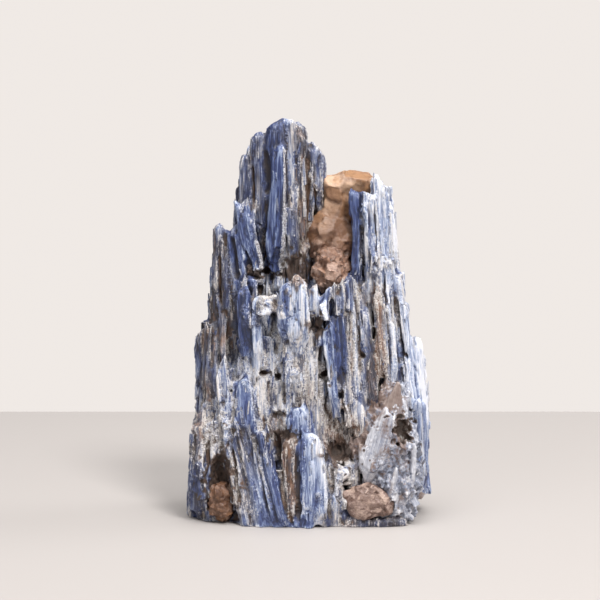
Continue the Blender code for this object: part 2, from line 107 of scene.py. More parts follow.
# A lead blade is placed as listed. After its ends, width, thickness, heading and the slant of its
# tip come how many blades it parts into, its tone (0 navy, 1 white), the painted highlight on its
# right edge, and how pure its blue is.
Lead = namedtuple("Lead", "name foot tip width thick heading slant parts tone edge pure")
LEADS = table(
    Lead,
    ("long_blue", (-14.5, -8.6, 98), (-12.3, -8.9, 148), 6.2, 3.4, 262, 1.5, 1, 0.27, 1.6, 1.3),
    ("second_peak", (-19.6, -3.5, 110), (-21.0, -3.2, 153.4), 7.2, 5.0, 264, 0.3, 1, 0.34, 0.1, 0.0),
    ("third_peak", (-24.4, -2.5, 100), (-25.8, -1.5, 144.5), 6.0, 4.4, 256, 0.4, 1, 0.31, 0.1, 0.0),
    ("shoulder_tip", (-33.0, -7.0, 84), (-33.8, -4.0, 118), 10.4, 5.0, 250, 0.8, 2, 0.36, 0.1, -0.2),
    ("shoulder_side", (-27.6, -8.0, 84), (-29.0, -5.0, 117), 7.0, 5.0, 254, 0.5, 1, 0.34, 0.1, 0.0),
    ("peak_dark", (-13.0, -5.0, 118), (-13.6, -4.6, 157.4), 9.0, 4.5, 264, 2.0, 1, 0.19, 0.2, 0.3),
    ("peak_pale", (-7.6, -5.6, 122), (-8.8, -5.0, 158.8), 6.4, 4.0, 276, -0.4, 1, 0.62, 0.3, 0.1),
    ("peak_olive", (-2.6, -4.2, 104), (-4.6, -3.6, 154.6), 7.0, 5.0, 286, -2.8, 1, 0.46, 0.1, -0.2),
    ("crown_slope", (3.6, -3.2, 96), (2.2, -2.6, 147.5), 6.4, 5.0, 296, -4.0, 3, 0.40, 0.2, 0.0),
    ("crown_smoky", (-6.2, -10.5, 106), (-7.4, -10.0, 125), 5.0, 2.6, 268, 1.6, 2, 0.36, 0.3, 0.0),
    ("fan_tip", (-20.6, -11.5, 94), (-26.8, -8.5, 125.5), 7.4, 4.0, 250, -3.0, 2, 0.22, 1.3, 0.7),
    ("fan_dark", (-24.5, -10.5, 84), (-30.2, -7.0, 115), 6.0, 4.0, 244, -2.0, 2, 0.20, 0.2, 0.4),
    ("middle_navy", (-25.0, -19.0, 68), (-26.5, -17.0, 93), 5.6, 3.5, 262, 1.0, 2, 0.10, 0.1, 0.7),
    ("middle_pale", (-21.0, -21.5, 62), (-20.8, -20.5, 90), 4.0, 3.2, 275, 1.0, 2, 0.66, 0.5, 0.5),
    ("tooth_left", (-10.2, -25.0, 72), (-10.0, -24.4, 95.4), 5.2, 4.5, 258, 1.5, 1, 0.30, 0.3, 0.3),
    ("tooth_right", (-4.6, -25.4, 68), (-4.4, -24.8, 98.8), 8.8, 4.8, 272, -0.8, 1, 0.78, 0.4, 0.1),
    ("cream_cap", (-16.2, -23.6, 83), (-16.4, -22.6, 91.4), 8.0, 4.2, 266, 0.0, 2, 0.95, 0.3, -0.4),
    ("white_chip", (4.8, -24.6, 80.6), (4.2, -23.2, 88.4), 4.4, 3.0, 276, 1.0, 3, 0.90, 0.3, 0.2),
    ("slim_blue", (10.0, -24.0, 42), (6.0, -21.0, 78), 4.2, 3.0, 276, 2.0, 2, 0.44, 0.4, 0.5),
    ("navy_pair", (12.0, -21.0, 56), (9.6, -18.5, 84), 5.0, 3.4, 284, 2.0, 2, 0.10, 0.1, 0.6),
    ("tail_foot", (5.8, -21.4, 78), (6.4, -20.8, 94), 3.6, 2.6, 270, 1.0, 1, 0.40, 0.4, 0.2),
    ("tail_left", (1.6, -20.0, 84), (1.4, -18.6, 95.0), 3.6, 2.8, 262, 1.0, 2, 0.78, 0.3, 0.1),
    ("tail_grit", (11.2, -20.6, 82), (10.6, -19.2, 96.8), 4.8, 3.0, 276, 1.0, 3, 0.88, 0.4, -0.1),
    ("tail_side", (15.2, -17.6, 84), (14.6, -16.6, 98), 4.0, 3.0, 284, 1.5, 2, 0.30, 0.5, 0.2),
    ("post_side", (1.4, -13.6, 99), (0.6, -12.4, 124), 3.6, 2.8, 262, 1.0, 2, 0.44, 0.2, -0.5),
    ("spire_navy", (17.4, -12.5, 92), (17.2, -11.0, 131), 4.6, 3.2, 262, -1.5, 1, 0.10, 0.1, 0.6),
    ("spire_pale", (25.0, -13.5, 84), (22.6, -11.5, 130), 6.6, 3.6, 280, -2.0, 3, 0.62, 0.3, 0.0),
    ("spire_edge", (31.0, -9.0, 84), (27.5, -7.4, 134), 6.4, 4.0, 300, -5.0, 3, 0.80, 0.3, 0.4),
    ("flank_long", (33.5, -19.5, 34), (29.0, -14.0, 86), 6.4, 3.4, 284, -2.0, 3, 0.70, 0.3, 0.0),
    ("flank_brown", (28.4, -20.6, 56), (25.4, -16.2, 93), 4.2, 3.0, 278, 1.0, 2, 0.60, 0.2, -0.6),
    ("flank_mid", (24.5, -21.5, 40), (20.5, -17.0, 84), 6.0, 3.4, 274, 2.0, 3, 0.48, 0.3, 0.0),
    ("flank_edge", (41.0, -12.0, 30), (36.4, -8.0, 84), 6.0, 4.0, 312, -3.0, 2, 0.72, 0.3, 0.5),
    ("bright_edge", (45.0, -6.0, 28), (42.0, -5.0, 71), 7.0, 3.2, 340, -3.0, 1, 1.00, 0.3, 0.6),
    ("blue_square", (-4.8, -25.6, 32), (-5.4, -25.2, 46.0), 8.6, 3.0, 270, 0.5, 3, 0.38, 0.3, 0.9),
    ("broad_blue", (-3.4, -29.4, 3), (-3.8, -27.4, 34.5), 3.6, 3.6, 268, 1.0, 1, 0.30, 0.1, 0.8),
    ("broad_pale", (1.8, -29.4, 1), (0.8, -27.4, 37.0), 10.6, 5.0, 276, -2.4, 1, 0.75, 0.5, 0.35),
    ("brown_column", (-8.0, -28.4, -4), (-8.6, -27.0, 34.5), 6.4, 4.0, 262, 1.5, 3, 0.40, 0.2, -0.5),
    ("fan_long_a", (-15.8, -29.0, -4), (-28.2, -22.0, 44), 6.8, 4.2, 268, 2.0, 3, 0.46, 0.7, 0.2),
    ("fan_long_b", (-9.8, -29.4, -4), (-19.6, -24.0, 39), 6.0, 3.8, 272, 1.5, 3, 0.26, 0.9, 0.3),
    ("fan_long_c", (-22.4, -27.5, -4), (-32.0, -21.0, 35), 6.2, 3.8, 262, 2.0, 3, 0.46, 0.4, -0.1),
    ("fan_face", (-24.0, -23.0, 32), (-26.8, -20.0, 57), 7.4, 3.4, 264, 0.3, 1, 0.30, 0.5, 0.7),
    ("fan_shard", (-32.6, -19.5, 36), (-35.2, -17.5, 64), 5.0, 3.0, 256, 3.0, 2, 0.70, 0.4, 0.0),
    ("heel_blade", (-43.4, -13.0, -4), (-42.4, -10.0, 40), 5.6, 4.0, 230, 2.0, 2, 0.26, 0.2, 0.6),
    ("foot_blue", (-3.0, -28.6, -4), (-2.6, -28.0, 9), 7.4, 4.0, 268, 1.5, 2, 0.36, 0.2, 0.7),
    ("foot_violet", (7.4, -27.0, -4), (6.0, -26.0, 15), 7.2, 4.4, 284, -3.0, 2, 0.60, 0.5, 0.0),
    ("foot_post", (13.2, -25.0, -4), (12.4, -23.6, 17), 3.4, 4.0, 272, 1.0, 1, 0.40, 0.2, 0.0),
    ("foot_sill", (19.5, -25.0, -4), (19.5, -24.6, 5.2), 15.0, 8.0, 276, 0.5, 1, 0.05, 0.0, -0.5),
    ("cleft_grit", (11.0, -24.8, 6), (11.4, -23.6, 24.5), 7.4, 4.0, 270, 0.0, 3, 0.20, 0.3, -0.3),
    ("cleft_back", (17.4, -21.6, 12), (16.4, -21.4, 27), 6.4, 4.0, 270, 0.0, 2, 0.16, 0.2, -0.3),
    ("foot_end", (31.0, -24.2, -4), (31.0, -24.0, 5.0), 12.0, 8.0, 284, -1.0, 1, 0.10, 0.2, -0.5),
)

# A laid blade lies on the front of the mass. It is placed as it is seen from the front: x and z of
# its foot and tip, its width, tone, stain and frost. Its depth is where the mass is.
Laid = namedtuple("Laid", "name foot tip width tone stain frost")
LAID = table(
    Laid,
    ("crown_rib_1", (1.6, 124), (0.4, 151), 3.4, 0.34, 0.1, 0.0),
    ("crown_rib_2", (3.8, 122), (2.9, 148.5), 3.2, 0.55, 0.1, 0.1),
    ("crown_rib_3", (5.0, 124), (4.2, 143), 3.0, 0.28, 0.2, 0.0),
    ("crown_post_1", (-2.8, 107), (-3.6, 141), 2.8, 0.36, 0.9, 0.1),
    ("crown_post_2", (-0.6, 107), (-1.1, 138), 2.4, 0.55, 0.5, 0.2),
    ("crown_post_3", (1.8, 108), (1.2, 135), 2.8, 0.32, 0.9, 0.1),
    ("crown_post_4", (4.2, 111), (3.8, 131), 2.4, 0.42, 0.7, 0.2),
    ("crown_white", (-9.8, 100), (-8.8, 143), 2.2, 1.00, 0.0, 0.9),
    ("crown_gravel", (-6.4, 119), (-6.6, 139), 4.0, 0.52, 0.5, 0.6),
    ("crown_groove", (-17.6, 121), (-17.8, 147), 2.2, 0.22, 1.0, 0.0),
    ("crown_left_brown", (-19.2, 108), (-20.8, 132), 2.6, 0.45, 0.9, 0.2),
    ("crown_left_grey", (-22.8, 112), (-23.2, 134), 3.0, 0.36, 0.4, 0.1),
    ("shoulder_1", (-37.0, 78), (-37.2, 110), 4.2, 0.20, 0.5, 0.0),
    ("shoulder_2", (-33.2, 77), (-33.8, 108), 3.6, 0.34, 0.4, 0.0),
    ("shoulder_3", (-29.6, 78), (-30.6, 103), 3.8, 0.22, 0.3, 0.1),
    ("shoulder_4", (-25.4, 78), (-26.8, 98), 3.6, 0.32, 0.4, 0.1),
    ("shoulder_5", (-21.6, 80), (-22.6, 100), 3.4, 0.20, 0.4, 0.1),
    ("haunch_1", (-42.0, 48), (-40.8, 79), 4.4, 0.22, 0.5, 0.0),
    ("haunch_2", (-38.4, 49), (-37.8, 81), 4.0, 0.36, 0.3, 0.0),
    ("haunch_3", (-34.6, 60), (-34.6, 82), 3.6, 0.26, 0.5, 0.0),
    ("heel_1", (-44.2, 18), (-43.4, 46), 3.8, 0.40, 0.7, 0.3),
    ("heel_2", (-44.6, -2), (-44.0, 25), 3.8, 0.16, 0.2, 0.0),
    ("heel_3", (-41.4, -2), (-41.4, 22), 2.8, 0.34, 0.3, 0.1),
    ("middle_1", (-19.0, 44), (-19.0, 68), 3.0, 0.80, 0.0, 0.5),
    ("middle_2", (-15.8, 46), (-15.9, 74), 3.2, 0.42, 0.1, 0.2),
    ("middle_3", (-12.4, 45), (-12.2, 70), 2.8, 0.92, 0.1, 0.6),
    ("middle_4", (-9.4, 47), (-9.4, 66), 3.2, 0.36, 0.1, 0.1),
    ("middle_5", (-6.2, 48), (-6.0, 62), 3.0, 0.78, 0.2, 0.5),
    ("middle_6", (-3.0, 46), (-2.8, 71), 2.8, 0.60, 0.6, 0.4),
    ("middle_7", (0.4, 44), (0.2, 66), 2.8, 0.86, 0.2, 0.6),
    ("middle_8", (3.4, 40), (3.0, 64), 2.4, 0.70, 0.3, 0.5),
    ("right_1", (15.6, 48), (14.2, 86), 3.2, 0.36, 0.4, 0.2),
    ("right_2", (19.0, 50), (17.2, 97), 2.8, 0.72, 0.1, 0.5),
    ("right_3", (22.2, 52), (20.2, 95), 3.0, 0.26, 0.3, 0.1),
    ("right_4", (25.2, 54), (23.2, 92), 2.6, 0.88, 0.1, 0.6),
    ("right_brown", (28.0, 64), (25.8, 92), 2.6, 0.62, 1.1, 0.3),
    ("right_6", (32.2, 56), (29.0, 95), 3.4, 0.66, 0.1, 0.2),
    ("right_7", (35.6, 54), (32.2, 99), 3.2, 0.42, 0.2, 0.1),
    ("right_8", (38.8, 50), (35.2, 96), 3.2, 0.80, 0.1, 0.3),
    ("spire_1", (21.6, 100), (21.6, 126), 2.8, 0.62, 0.1, 0.3),
    ("spire_2", (25.2, 98), (24.4, 136), 3.2, 0.44, 0.2, 0.2),
    ("spire_3", (28.4, 98), (27.4, 134), 3.0, 0.78, 0.1, 0.3),
    ("spire_4", (31.4, 98), (30.2, 130), 2.8, 0.56, 0.1, 0.3),
    ("right_bulge", (45.2, 9), (43.4, 49), 6.4, 0.42, 0.0, 0.1),
    ("fan_1", (-30.0, 20), (-33.6, 44), 3.2, 0.78, 0.2, 0.8),
    ("fan_2", (-15.6, 10), (-21.6, 40), 2.4, 0.90, 0.1, 0.6),
    ("fan_3", (-21.0, -2), (-24.8, 20), 2.6, 0.76, 0.3, 0.5),
    ("foot_brown", (3.4, -2), (3.2, 14), 3.0, 0.30, 0.3, 0.2),
)

# A lump is a rough ball: its middle and half sizes. No blade runs through a lump or a hollow.
Lump = namedtuple("Lump", "name middle half")
LUMPS = table(
    Lump,
    ("vein_top", (11.2, 0.5, 126.0), (8.8, 9.5, 12.0)),
    ("vein_bridge", (19.0, 1.5, 132.4), (7.0, 7.5, 5.6)),
    ("vein_neck", (8.0, -4.0, 111.0), (8.8, 9.4, 12.5)),
    ("vein_tail", (8.0, -10.0, 99.0), (7.2, 8.4, 10.0)),
    ("foot_quartz", (22.2, -27.0, 9.6), (9.6, 5.0, 6.4)),
    ("pocket_quartz", (-35.4, -19.6, 8.4), (5.2, 5.4, 8.0)),
    ("mica_low", (32.0, -19.0, 15.0), (11.6, 10.4, 16.5)),
    ("mica_high", (28.6, -19.0, 32.0), (13.4, 9.6, 15.0)),
    ("mica_peak", (33.0, -17.0, 45.0), (7.4, 7.0, 11.0)),
)
# A plate is a large flake on the mica. Its depth, y, is added to where the mica is.
Plate = namedtuple("Plate", "name foot tip width heading dome tone stain")
PLATES = table(
    Plate,
    ("leaf", (21.6, 1.9, 17), (29.4, 3.0, 47), 10.0, 262, 1.9, 0.64, -0.2),
    ("leaf_back", (25.4, 1.9, 22), (31.0, 3, 45), 6.0, 280, 1.2, 0.48, 0.1),
    ("gable", (31.2, 1.0, 38), (34.2, 3.6, 57), 9.5, 276, 2.4, 0.56, 0.50),
    ("gable_side", (37.4, 0.6, 36), (36.0, 3, 50), 4.0, 300, 1.2, 0.62, 0.1),
    ("sliver_1", (39.4, 1.2, 12), (40.6, 1.4, 33), 2.2, 306, 1.0, 0.66, 0.0),
    ("sliver_2", (31.4, 1.8, 12), (33.4, 1.6, 24), 2.4, 280, 1.0, 0.60, 0.0),
    ("sliver_3", (20.2, 1.2, 22), (19.2, 1.4, 33), 2.2, 262, 1.0, 0.60, 0.0),
)
MICA_POCKET = Lump("pocket", (36.2, -24, 38.5), (3.2, 8, 4.6))
HOLLOWS = table(
    Lump,
    ("arch", (-36.0, -24.5, 16.0), (4.6, 9.5, 13.0)),
    ("crown_cave", (-4.0, -16.0, 99.0), (7.0, 8.0, 6.5)),
    ("foot_cave", (11.0, -27.0, 29.0), (4.6, 9.0, 4.4)),
    ("middle_cave", (2.4, -26.5, 78.0), (3.6, 6.0, 3.8)),
    ("left_cave", (-11.6, -29.0, 36.0), (3.0, 5.0, 3.0)),
)

# A pinhole is a small hole in the front, pushed in and darkened with painted shade.
PINHOLES = table(
    Lump,
    ("hole_1", (-18.2, -20, 59.8), (1.2, 12, 0.5)),
    ("hole_2", (-12.8, -22, 58.2), (0.4, 10, 0.7)),
    ("hole_3", (5.6, -22, 58.6), (0.6, 12, 1.4)),
    ("hole_4", (20.0, -18, 67.2), (0.5, 10, 0.9)),
    ("hole_5", (37.6, -12, 66.0), (0.4, 10, 0.6)),
    ("hole_6", (-13.2, -26, 43.4), (0.9, 8, 1.1)),
    ("slit", (13.6, -26, 15.0), (0.3, 8, 3.4)),
    ("under_crown", (-20.0, -14, 98.0), (5.0, 8, 1.4)),
)

# A gap is a dark line between two blades of the front: its ends (x, z) and its width.
Gap = namedtuple("Gap", "foot tip width")
GAPS = table(
    Gap,
    ((-17.4, 128), (-17.8, 147), 1.5),
    ((-22.6, 122), (-23.2, 141), 1.1),
    ((-0.6, 108), (-0.9, 146), 1.3),
    ((2.6, 112), (1.6, 142), 1.0),
    ((-29.6, 94), (-31.4, 114), 1.3),
    ((-36.0, 84), (-36.4, 106), 1.0),
    ((-22.8, 96), (-26.4, 108), 1.2),
    ((-14.6, 72), (-14.2, 92), 1.5),
    ((-4.8, 1), (-5.8, 31), 1.5),
    ((7.6, 2), (8.4, 24), 1.4),
    ((-9.2, 4), (-14.4, 38), 1.4),
    ((-16.8, 4), (-23.0, 38), 1.2),
    ((-27.6, 6), (-31.4, 32), 1.1),
    ((19.6, 58), (17.6, 92), 0.9),
    ((32.2, 60), (28.4, 100), 0.8),
    ((14.6, 96), (14.8, 122), 1.5),
    ((20.4, 100), (19.8, 118), 0.8),
    ((26.4, 104), (24.8, 128), 0.7),
    ((3.8, 48), (4.2, 72), 1.3),
    ((-10.6, 46), (-11.0, 66), 1.0),
    ((37.4, 56), (33.6, 90), 0.8),
    ((-40.6, 4), (-40.2, 34), 1.1),
)

# A patch gives the blades near it their look: its middle (x, z) and reach on the front, its tone
# (0 navy, 1 white), brown stain, and white frosting of fine grains and broken edges.
Patch = namedtuple("Patch", "name x z reach_x reach_z tone stain frost")
PATCHES = table(
    Patch,
    ("crown_navy", -14, 142, 5, 18, 0.41, 0.24, 0.12),
    ("crown_olive", -4, 147, 5, 12, 0.62, 0.60, 0.15),
    ("crown_right", 3, 138, 5, 12, 0.54, 0.35, 0.25),
    ("crown_left", -23, 140, 5, 14, 0.60, 0.48, 0.14),
    ("crown_skirt", -1, 119, 7, 11, 0.55, 0.68, 0.34),
    ("crown_pink", 1, 108, 4, 5, 0.80, 1.10, 0.95),
    ("fan", -25, 112, 4, 10, 0.32, 0.10, 0.15),
    ("shoulder", -35, 98, 8, 16, 0.46, 0.34, 0.10),
    ("shoulder_foot", -29, 86, 6, 6, 0.30, 0.30, 0.16),
    ("haunch", -40, 64, 6, 14, 0.40, 0.42, 0.14),
    ("rust", -31, 70, 5, 5, 0.35, 0.95, 0.20),
    ("heel_rough", -42, 36, 5, 9, 0.42, 0.60, 0.35),
    ("heel", -44, 13, 5, 14, 0.26, 0.20, 0.15),
    ("navy_pocket", -26, 80, 4, 10, 0.12, 0.05, 0.05),
    ("middle_pale", -15, 62, 8, 12, 0.84, 0.20, 0.65),
    ("tooth", -7, 86, 6, 8, 0.82, 0.05, 0.45),
    ("middle_streaks", -3, 58, 6, 12, 0.84, 0.30, 0.65),
    ("navy_slot", 10, 78, 4, 10, 0.16, 0.15, 0.10),
    ("right_streaks", 20, 78, 6, 16, 0.72, 0.28, 0.42),
    ("brown_streak", 26, 80, 2.5, 13, 0.45, 0.95, 0.30),
    ("right_pale", 35, 76, 5, 16, 0.82, 0.12, 0.35),
    ("right_rim", 44, 57, 4, 14, 1.05, 0.00, 0.30),
    ("right_bulge", 46, 28, 4, 10, 0.46, 0.02, 0.15),
    ("spire_dark", 17, 119, 3, 12, 0.14, 0.10, 0.10),
    ("spire", 22, 116, 4, 16, 0.92, 0.15, 0.40),
    ("spire_rim", 29, 114, 4, 18, 0.92, 0.02, 0.40),
    ("long_fan", -23, 26, 9, 18, 0.40, 0.34, 0.36),
    ("fan_crest", -29, 62, 5, 5, 0.60, 0.25, 0.85),
    ("white_knot", -35, 39, 5, 7, 0.66, 0.35, 0.95),
    ("broad_pale", 1, 28, 6, 10, 0.74, 0.05, 0.30),
    ("brown_column", -8, 26, 3, 12, 0.36, 0.70, 0.15),
    ("foot_violet", 7, 10, 5, 7, 0.54, 0.10, 0.45),
    ("amber", 8, 3, 3, 3, 0.50, 1.00, 0.10),
    ("cream_cap", -16, 85, 4, 4, 0.80, 0.35, 1.00),
    ("cream_tuft", 29, 102, 4, 4, 0.80, 0.40, 0.90),
    ("cave_lip", -18, 100, 8, 3, 0.45, 0.75, 0.55),
    ("cave_rim", 11, 34, 6, 5, 0.42, 1.25, 0.55),
    ("cleft_grit", 13, 19, 5, 6, 0.80, 0.50, 0.95),
    ("foot_dark", 24, 2, 12, 4, 0.34, 0.12, 0.25),
    ("pink_notch", -14, 38, 3, 4, 0.62, 1.00, 0.70),
    ("rust_middle", -1, 51, 3, 6, 0.50, 1.25, 0.45),
    ("rust_left", -16, 52, 3, 5, 0.40, 0.85, 0.55),
    ("rust_foot", 9, 37, 5, 6, 0.40, 1.30, 0.60),
    ("rust_flank", 26, 58, 3, 8, 0.40, 0.95, 0.35),
)
ELSEWHERE = Patch("elsewhere", 0, 0, 1, 1, 0.42, 0.28, 0.28)
ELSEWHERE_WEIGHT = 0.06
# How the looks drift from place to place: waves this wide and this high, and how much they change
# the tone, the stain and the frost.
DRIFTS = (
    (9.0, 9.0, (0.14, 0.24, 0.20)),
    (2.6, 9.0, (0.22, 0.24, 0.28)),
    (1.3, 4.5, (0.16, 0.14, 0.22)),
)


# ---- Settings ----


def length(name, description, default):
    return FloatProperty(
        name=name, description=description, default=default, min=0.0, precision=5, unit="LENGTH"
    )


def share(name, description, default):
    return FloatProperty(
        name=name, description=description, default=default, min=0.0, max=1.0, subtype="FACTOR"
    )


def count(name, description, default):
    return IntProperty(name=name, description=description, default=default, min=0)


def colour(name, description, default):
    return FloatVectorProperty(
        name=name, description=description, default=default, min=0.0, max=1.0, subtype="COLOR"
    )


def power(name, description, default):
    return FloatProperty(name=name, description=description, default=default, min=0.0, unit="POWER")


class BladeSettings(bpy.types.PropertyGroup):
    striation: length("Striation", "Width of one striation on a blade's face", 0.0006)
    station: length("Station", "Distance between the sections along a blade", 0.0014)
    ridge: length("Ridge", "Depth of the striations", 0.00038)
    jag: length("Jag", "How ragged the broken tips are", 0.00028)
    strand: length("Strand", "Width of the strands that a standing blade parts into", 0.0036)
    crowding: FloatProperty(
        name="Crowding", description="How many tiers of blades a column has", default=2.1, min=0.0
    )
    seed: count("Seed", "Seed of the blades' irregularity", 41)


class SplinterSettings(bpy.types.PropertyGroup):
    splinters: count("Splinters", "How many rays look for a place to lay a splinter", 2600)
    longest: length("Longest", "Length of the longest splinters", 0.016)
    widest: length("Widest", "Width of the widest splinters", 0.0015)
    grains: count("Crushed grains", "How many knots of crushed grains crust the frosted places", 260)
    grain: length("Grain", "Size of a large crushed grain", 0.0022)
    seed: count("Seed", "Seed of the splinters and the crushed grains", 7)


class MineralSettings(bpy.types.PropertyGroup):
    body_voxel: length("Body step", "How finely the fused kyanite is grown", 0.0006)
    body_faces: count("Body faces", "How many triangles the fused kyanite keeps", 194000)
    quartz_voxel: length("Quartz mesh", "How fine the mesh of the quartz is", 0.00045)
    quartz_step: length("Quartz step", "Height of the steps of broken quartz", 0.0011)
    mica_voxel: length("Mica step", "How finely the mica is grown", 0.0004)
    flakes: count("Flakes", "How many rays look for a place to lay a flake", 1000)
    flake: length("Flake", "Length of a long mica flake", 0.0056)
    seed: count("Seed", "Seed of the flakes", 19)


class ColourSettings(bpy.types.PropertyGroup):
    navy: colour("Navy", "Darkest kyanite", (0.012, 0.018, 0.055))
    deep: colour("Deep blue", "Saturated kyanite", (0.030, 0.050, 0.165))
    middle: colour("Mid blue", "Ordinary kyanite", (0.118, 0.160, 0.300))
    pale: colour("Pale blue", "Thin, pale kyanite", (0.350, 0.410, 0.560))
    white: colour("White", "Broken and bleached kyanite", (0.720, 0.735, 0.800))
    shadow: colour("Shadow grey", "Darkest dull kyanite", (0.020, 0.019, 0.024))
    dull: colour("Dull grey", "Ordinary kyanite under a film of iron", (0.125, 0.120, 0.142))
    ash: colour("Ash grey", "Pale kyanite under a film of iron", (0.310, 0.295, 0.310))
    frost: colour("Frost", "Fine grains and crushed edges", (0.660, 0.610, 0.570))
    # Painted shade in the gaps between clean blades.
    gap: colour("Gap", "Gaps between clean blades", (0.026, 0.030, 0.058))
    brown: colour("Brown", "Iron stain in thin films", (0.150, 0.085, 0.052))
    # Dark dirt, also used as painted shade in gaps and creases.
    dirt_and_shade: colour("Earth", "Dark dirt in the gaps", (0.036, 0.022, 0.016))
    rust: colour("Rust", "Iron stain in thick films", (0.34, 0.17, 0.09))
    orange: colour("Orange quartz", "Glassy quartz of the vein", (0.350, 0.185, 0.085))
    rose: colour("Rose quartz", "Grainy quartz of the vein", (0.360, 0.205, 0.145))
    foot: colour("Foot quartz", "Quartz at the foot of the cluster", (0.250, 0.165, 0.135))
    foot_grain: colour("Foot grains", "Darker grains of the foot quartz", (0.200, 0.135, 0.115))
    pocket: colour("Pocket quartz", "Quartz in the arched cavity", (0.40, 0.16, 0.05))
    glass: colour("Clear quartz", "Brightest glassy quartz", (0.60, 0.43, 0.31))
    blush: colour("Clear grains", "Brightest grains of quartz", (0.62, 0.46, 0.39))
    # Rust on quartz, also used as painted shade on the pocket lump deep in the arch.
    crust: colour("Quartz rust", "Rusty film on quartz", (0.110, 0.048, 0.024))
    crack: colour("Quartz cracks", "Dirt in the cracks of quartz", (0.085, 0.040, 0.026))
    slate: colour("Slate", "Dark mica", (0.075, 0.080, 0.105))
    steel: colour("Steel", "Ordinary mica", (0.20, 0.22, 0.29))
    mica: colour("Mica", "Pale mica", (0.420, 0.425, 0.470))
    pearl: colour("Pearl", "Brightest mica", (0.80, 0.80, 0.84))


class StageSettings(bpy.types.PropertyGroup):
    lens: FloatProperty(name="Lens", description="Focal length", default=150.3, min=1.0)
    distance: length("Distance", "How far the camera stands from the cluster", 1.0)
    elevation: FloatProperty(
        name="Elevation",
        description="How far the camera looks down",
        default=math.radians(6.6),
        subtype="ANGLE",
    )
    aim_x: length("Aim across", "Where the camera aims, left of the middle", 0.0042)
    aim_z: length("Aim height", "Height that the camera aims at", 0.0862)
    floor_half_depth: length("Floor half depth", "How far the floor runs behind", 0.255)
    floor_colour: colour("Floor", "Pale floor", (0.40, 0.375, 0.362))
    wall_colour: colour("Wall", "Pale air behind", (0.87, 0.82, 0.785))
    air_light: share("Air light", "How much the pale air lights the cluster", 0.25)
    key_power: power("Key", "Watts of the key light", 40.0)
    fill_power: power("Fill", "Watts of the fill light", 7.0)
    top_power: power("Top", "Watts of the light above", 34.0)
    rim_power: power("Rim", "Watts of the light at the right", 8.0)


# ---- Shards: the one form that blades, splinters, grains and flakes are made of ----


@dataclass
class Shard:
    """A flat, striated, broken prism. Lengths are millimetres."""

    foot: np.ndarray
    tip: np.ndarray
    width: float
    thick: float
    facing: np.ndarray  # the way that its broad face looks
    slant: float = 0.0
    dome: float = 0.0  # how round the tip is worn, from 0 to 1
    heel: float = 0.0  # how far the foot narrows and sinks in, from 0 to 1
    taper: float = 0.0  # how much narrower the tip is than the foot, from 0 to 1
    ridge: float = 0.3  # how deep its striations are
    jag: float = 0.4  # how ragged its ends are
    tone: float = 0.0  # added to the tone of its place
    stain: float = 0.0
    frost: float = 0.0
    edge: float = 0.0  # how bright its right edge is painted: a painted highlight
    strength: float = 0.0  # how far its own tone overrules that of its place
    flush: bool = False  # whether its foot is cut level with the base


class SmoothNoise:
    """Smooth random values between -1 and 1 through space, for many points at once."""

    SIDE = 32

    def __init__(self, seed):
        self.table = np.random.default_rng(seed).random((self.SIDE,) * 3) * 2 - 1

    def __call__(self, points):
        cell = np.floor(points).astype(int)
        part = points - cell
        part = part * part * (3 - 2 * part)
        total = np.zeros(len(points))
        for corner in np.ndindex(2, 2, 2):
            weight = np.prod(np.where(corner, part, 1 - part), axis=1)
            x, y, z = ((cell + corner) % self.SIDE).T
            total += weight * self.table[x, y, z]
        return total


NOISES = [SmoothNoise(seed) for seed in (101, 102, 103, 104)]
MOST_COLUMNS = 26
MOST_STATIONS = 90
HEEL_LENGTH = 9  # how far up from its foot a shard is narrower and sunk
HEEL_SIZES = (8, 22)  # shards up to the first length have no heel, from the second a whole one


def smooth_step(low, high, value):
    part = np.clip((value - low) / (high - low), 0, 1)
    return part * part * (3 - 2 * part)


def heading_vector(degrees):
    angle = math.radians(degrees)
    return np.array((math.cos(angle), math.sin(angle), 0.0))


def unit(vector):
    return vector / np.linalg.norm(vector)


def shard_axes(shard):
    """The shard's length, and rows that point across it, in from its broad face and along it."""
    along = shard.tip - shard.foot
    size = np.linalg.norm(along)
    along = along / size
    inward = unit(along * np.dot(shard.facing, along) - shard.facing)
    return size, np.array((np.cross(inward, along), inward, along))


def corners(*places):
    """The corners of many faces, from one (across, up) pair of arrays for each corner."""
    return np.stack([np.stack(place, axis=-1) for place in places], axis=-2)


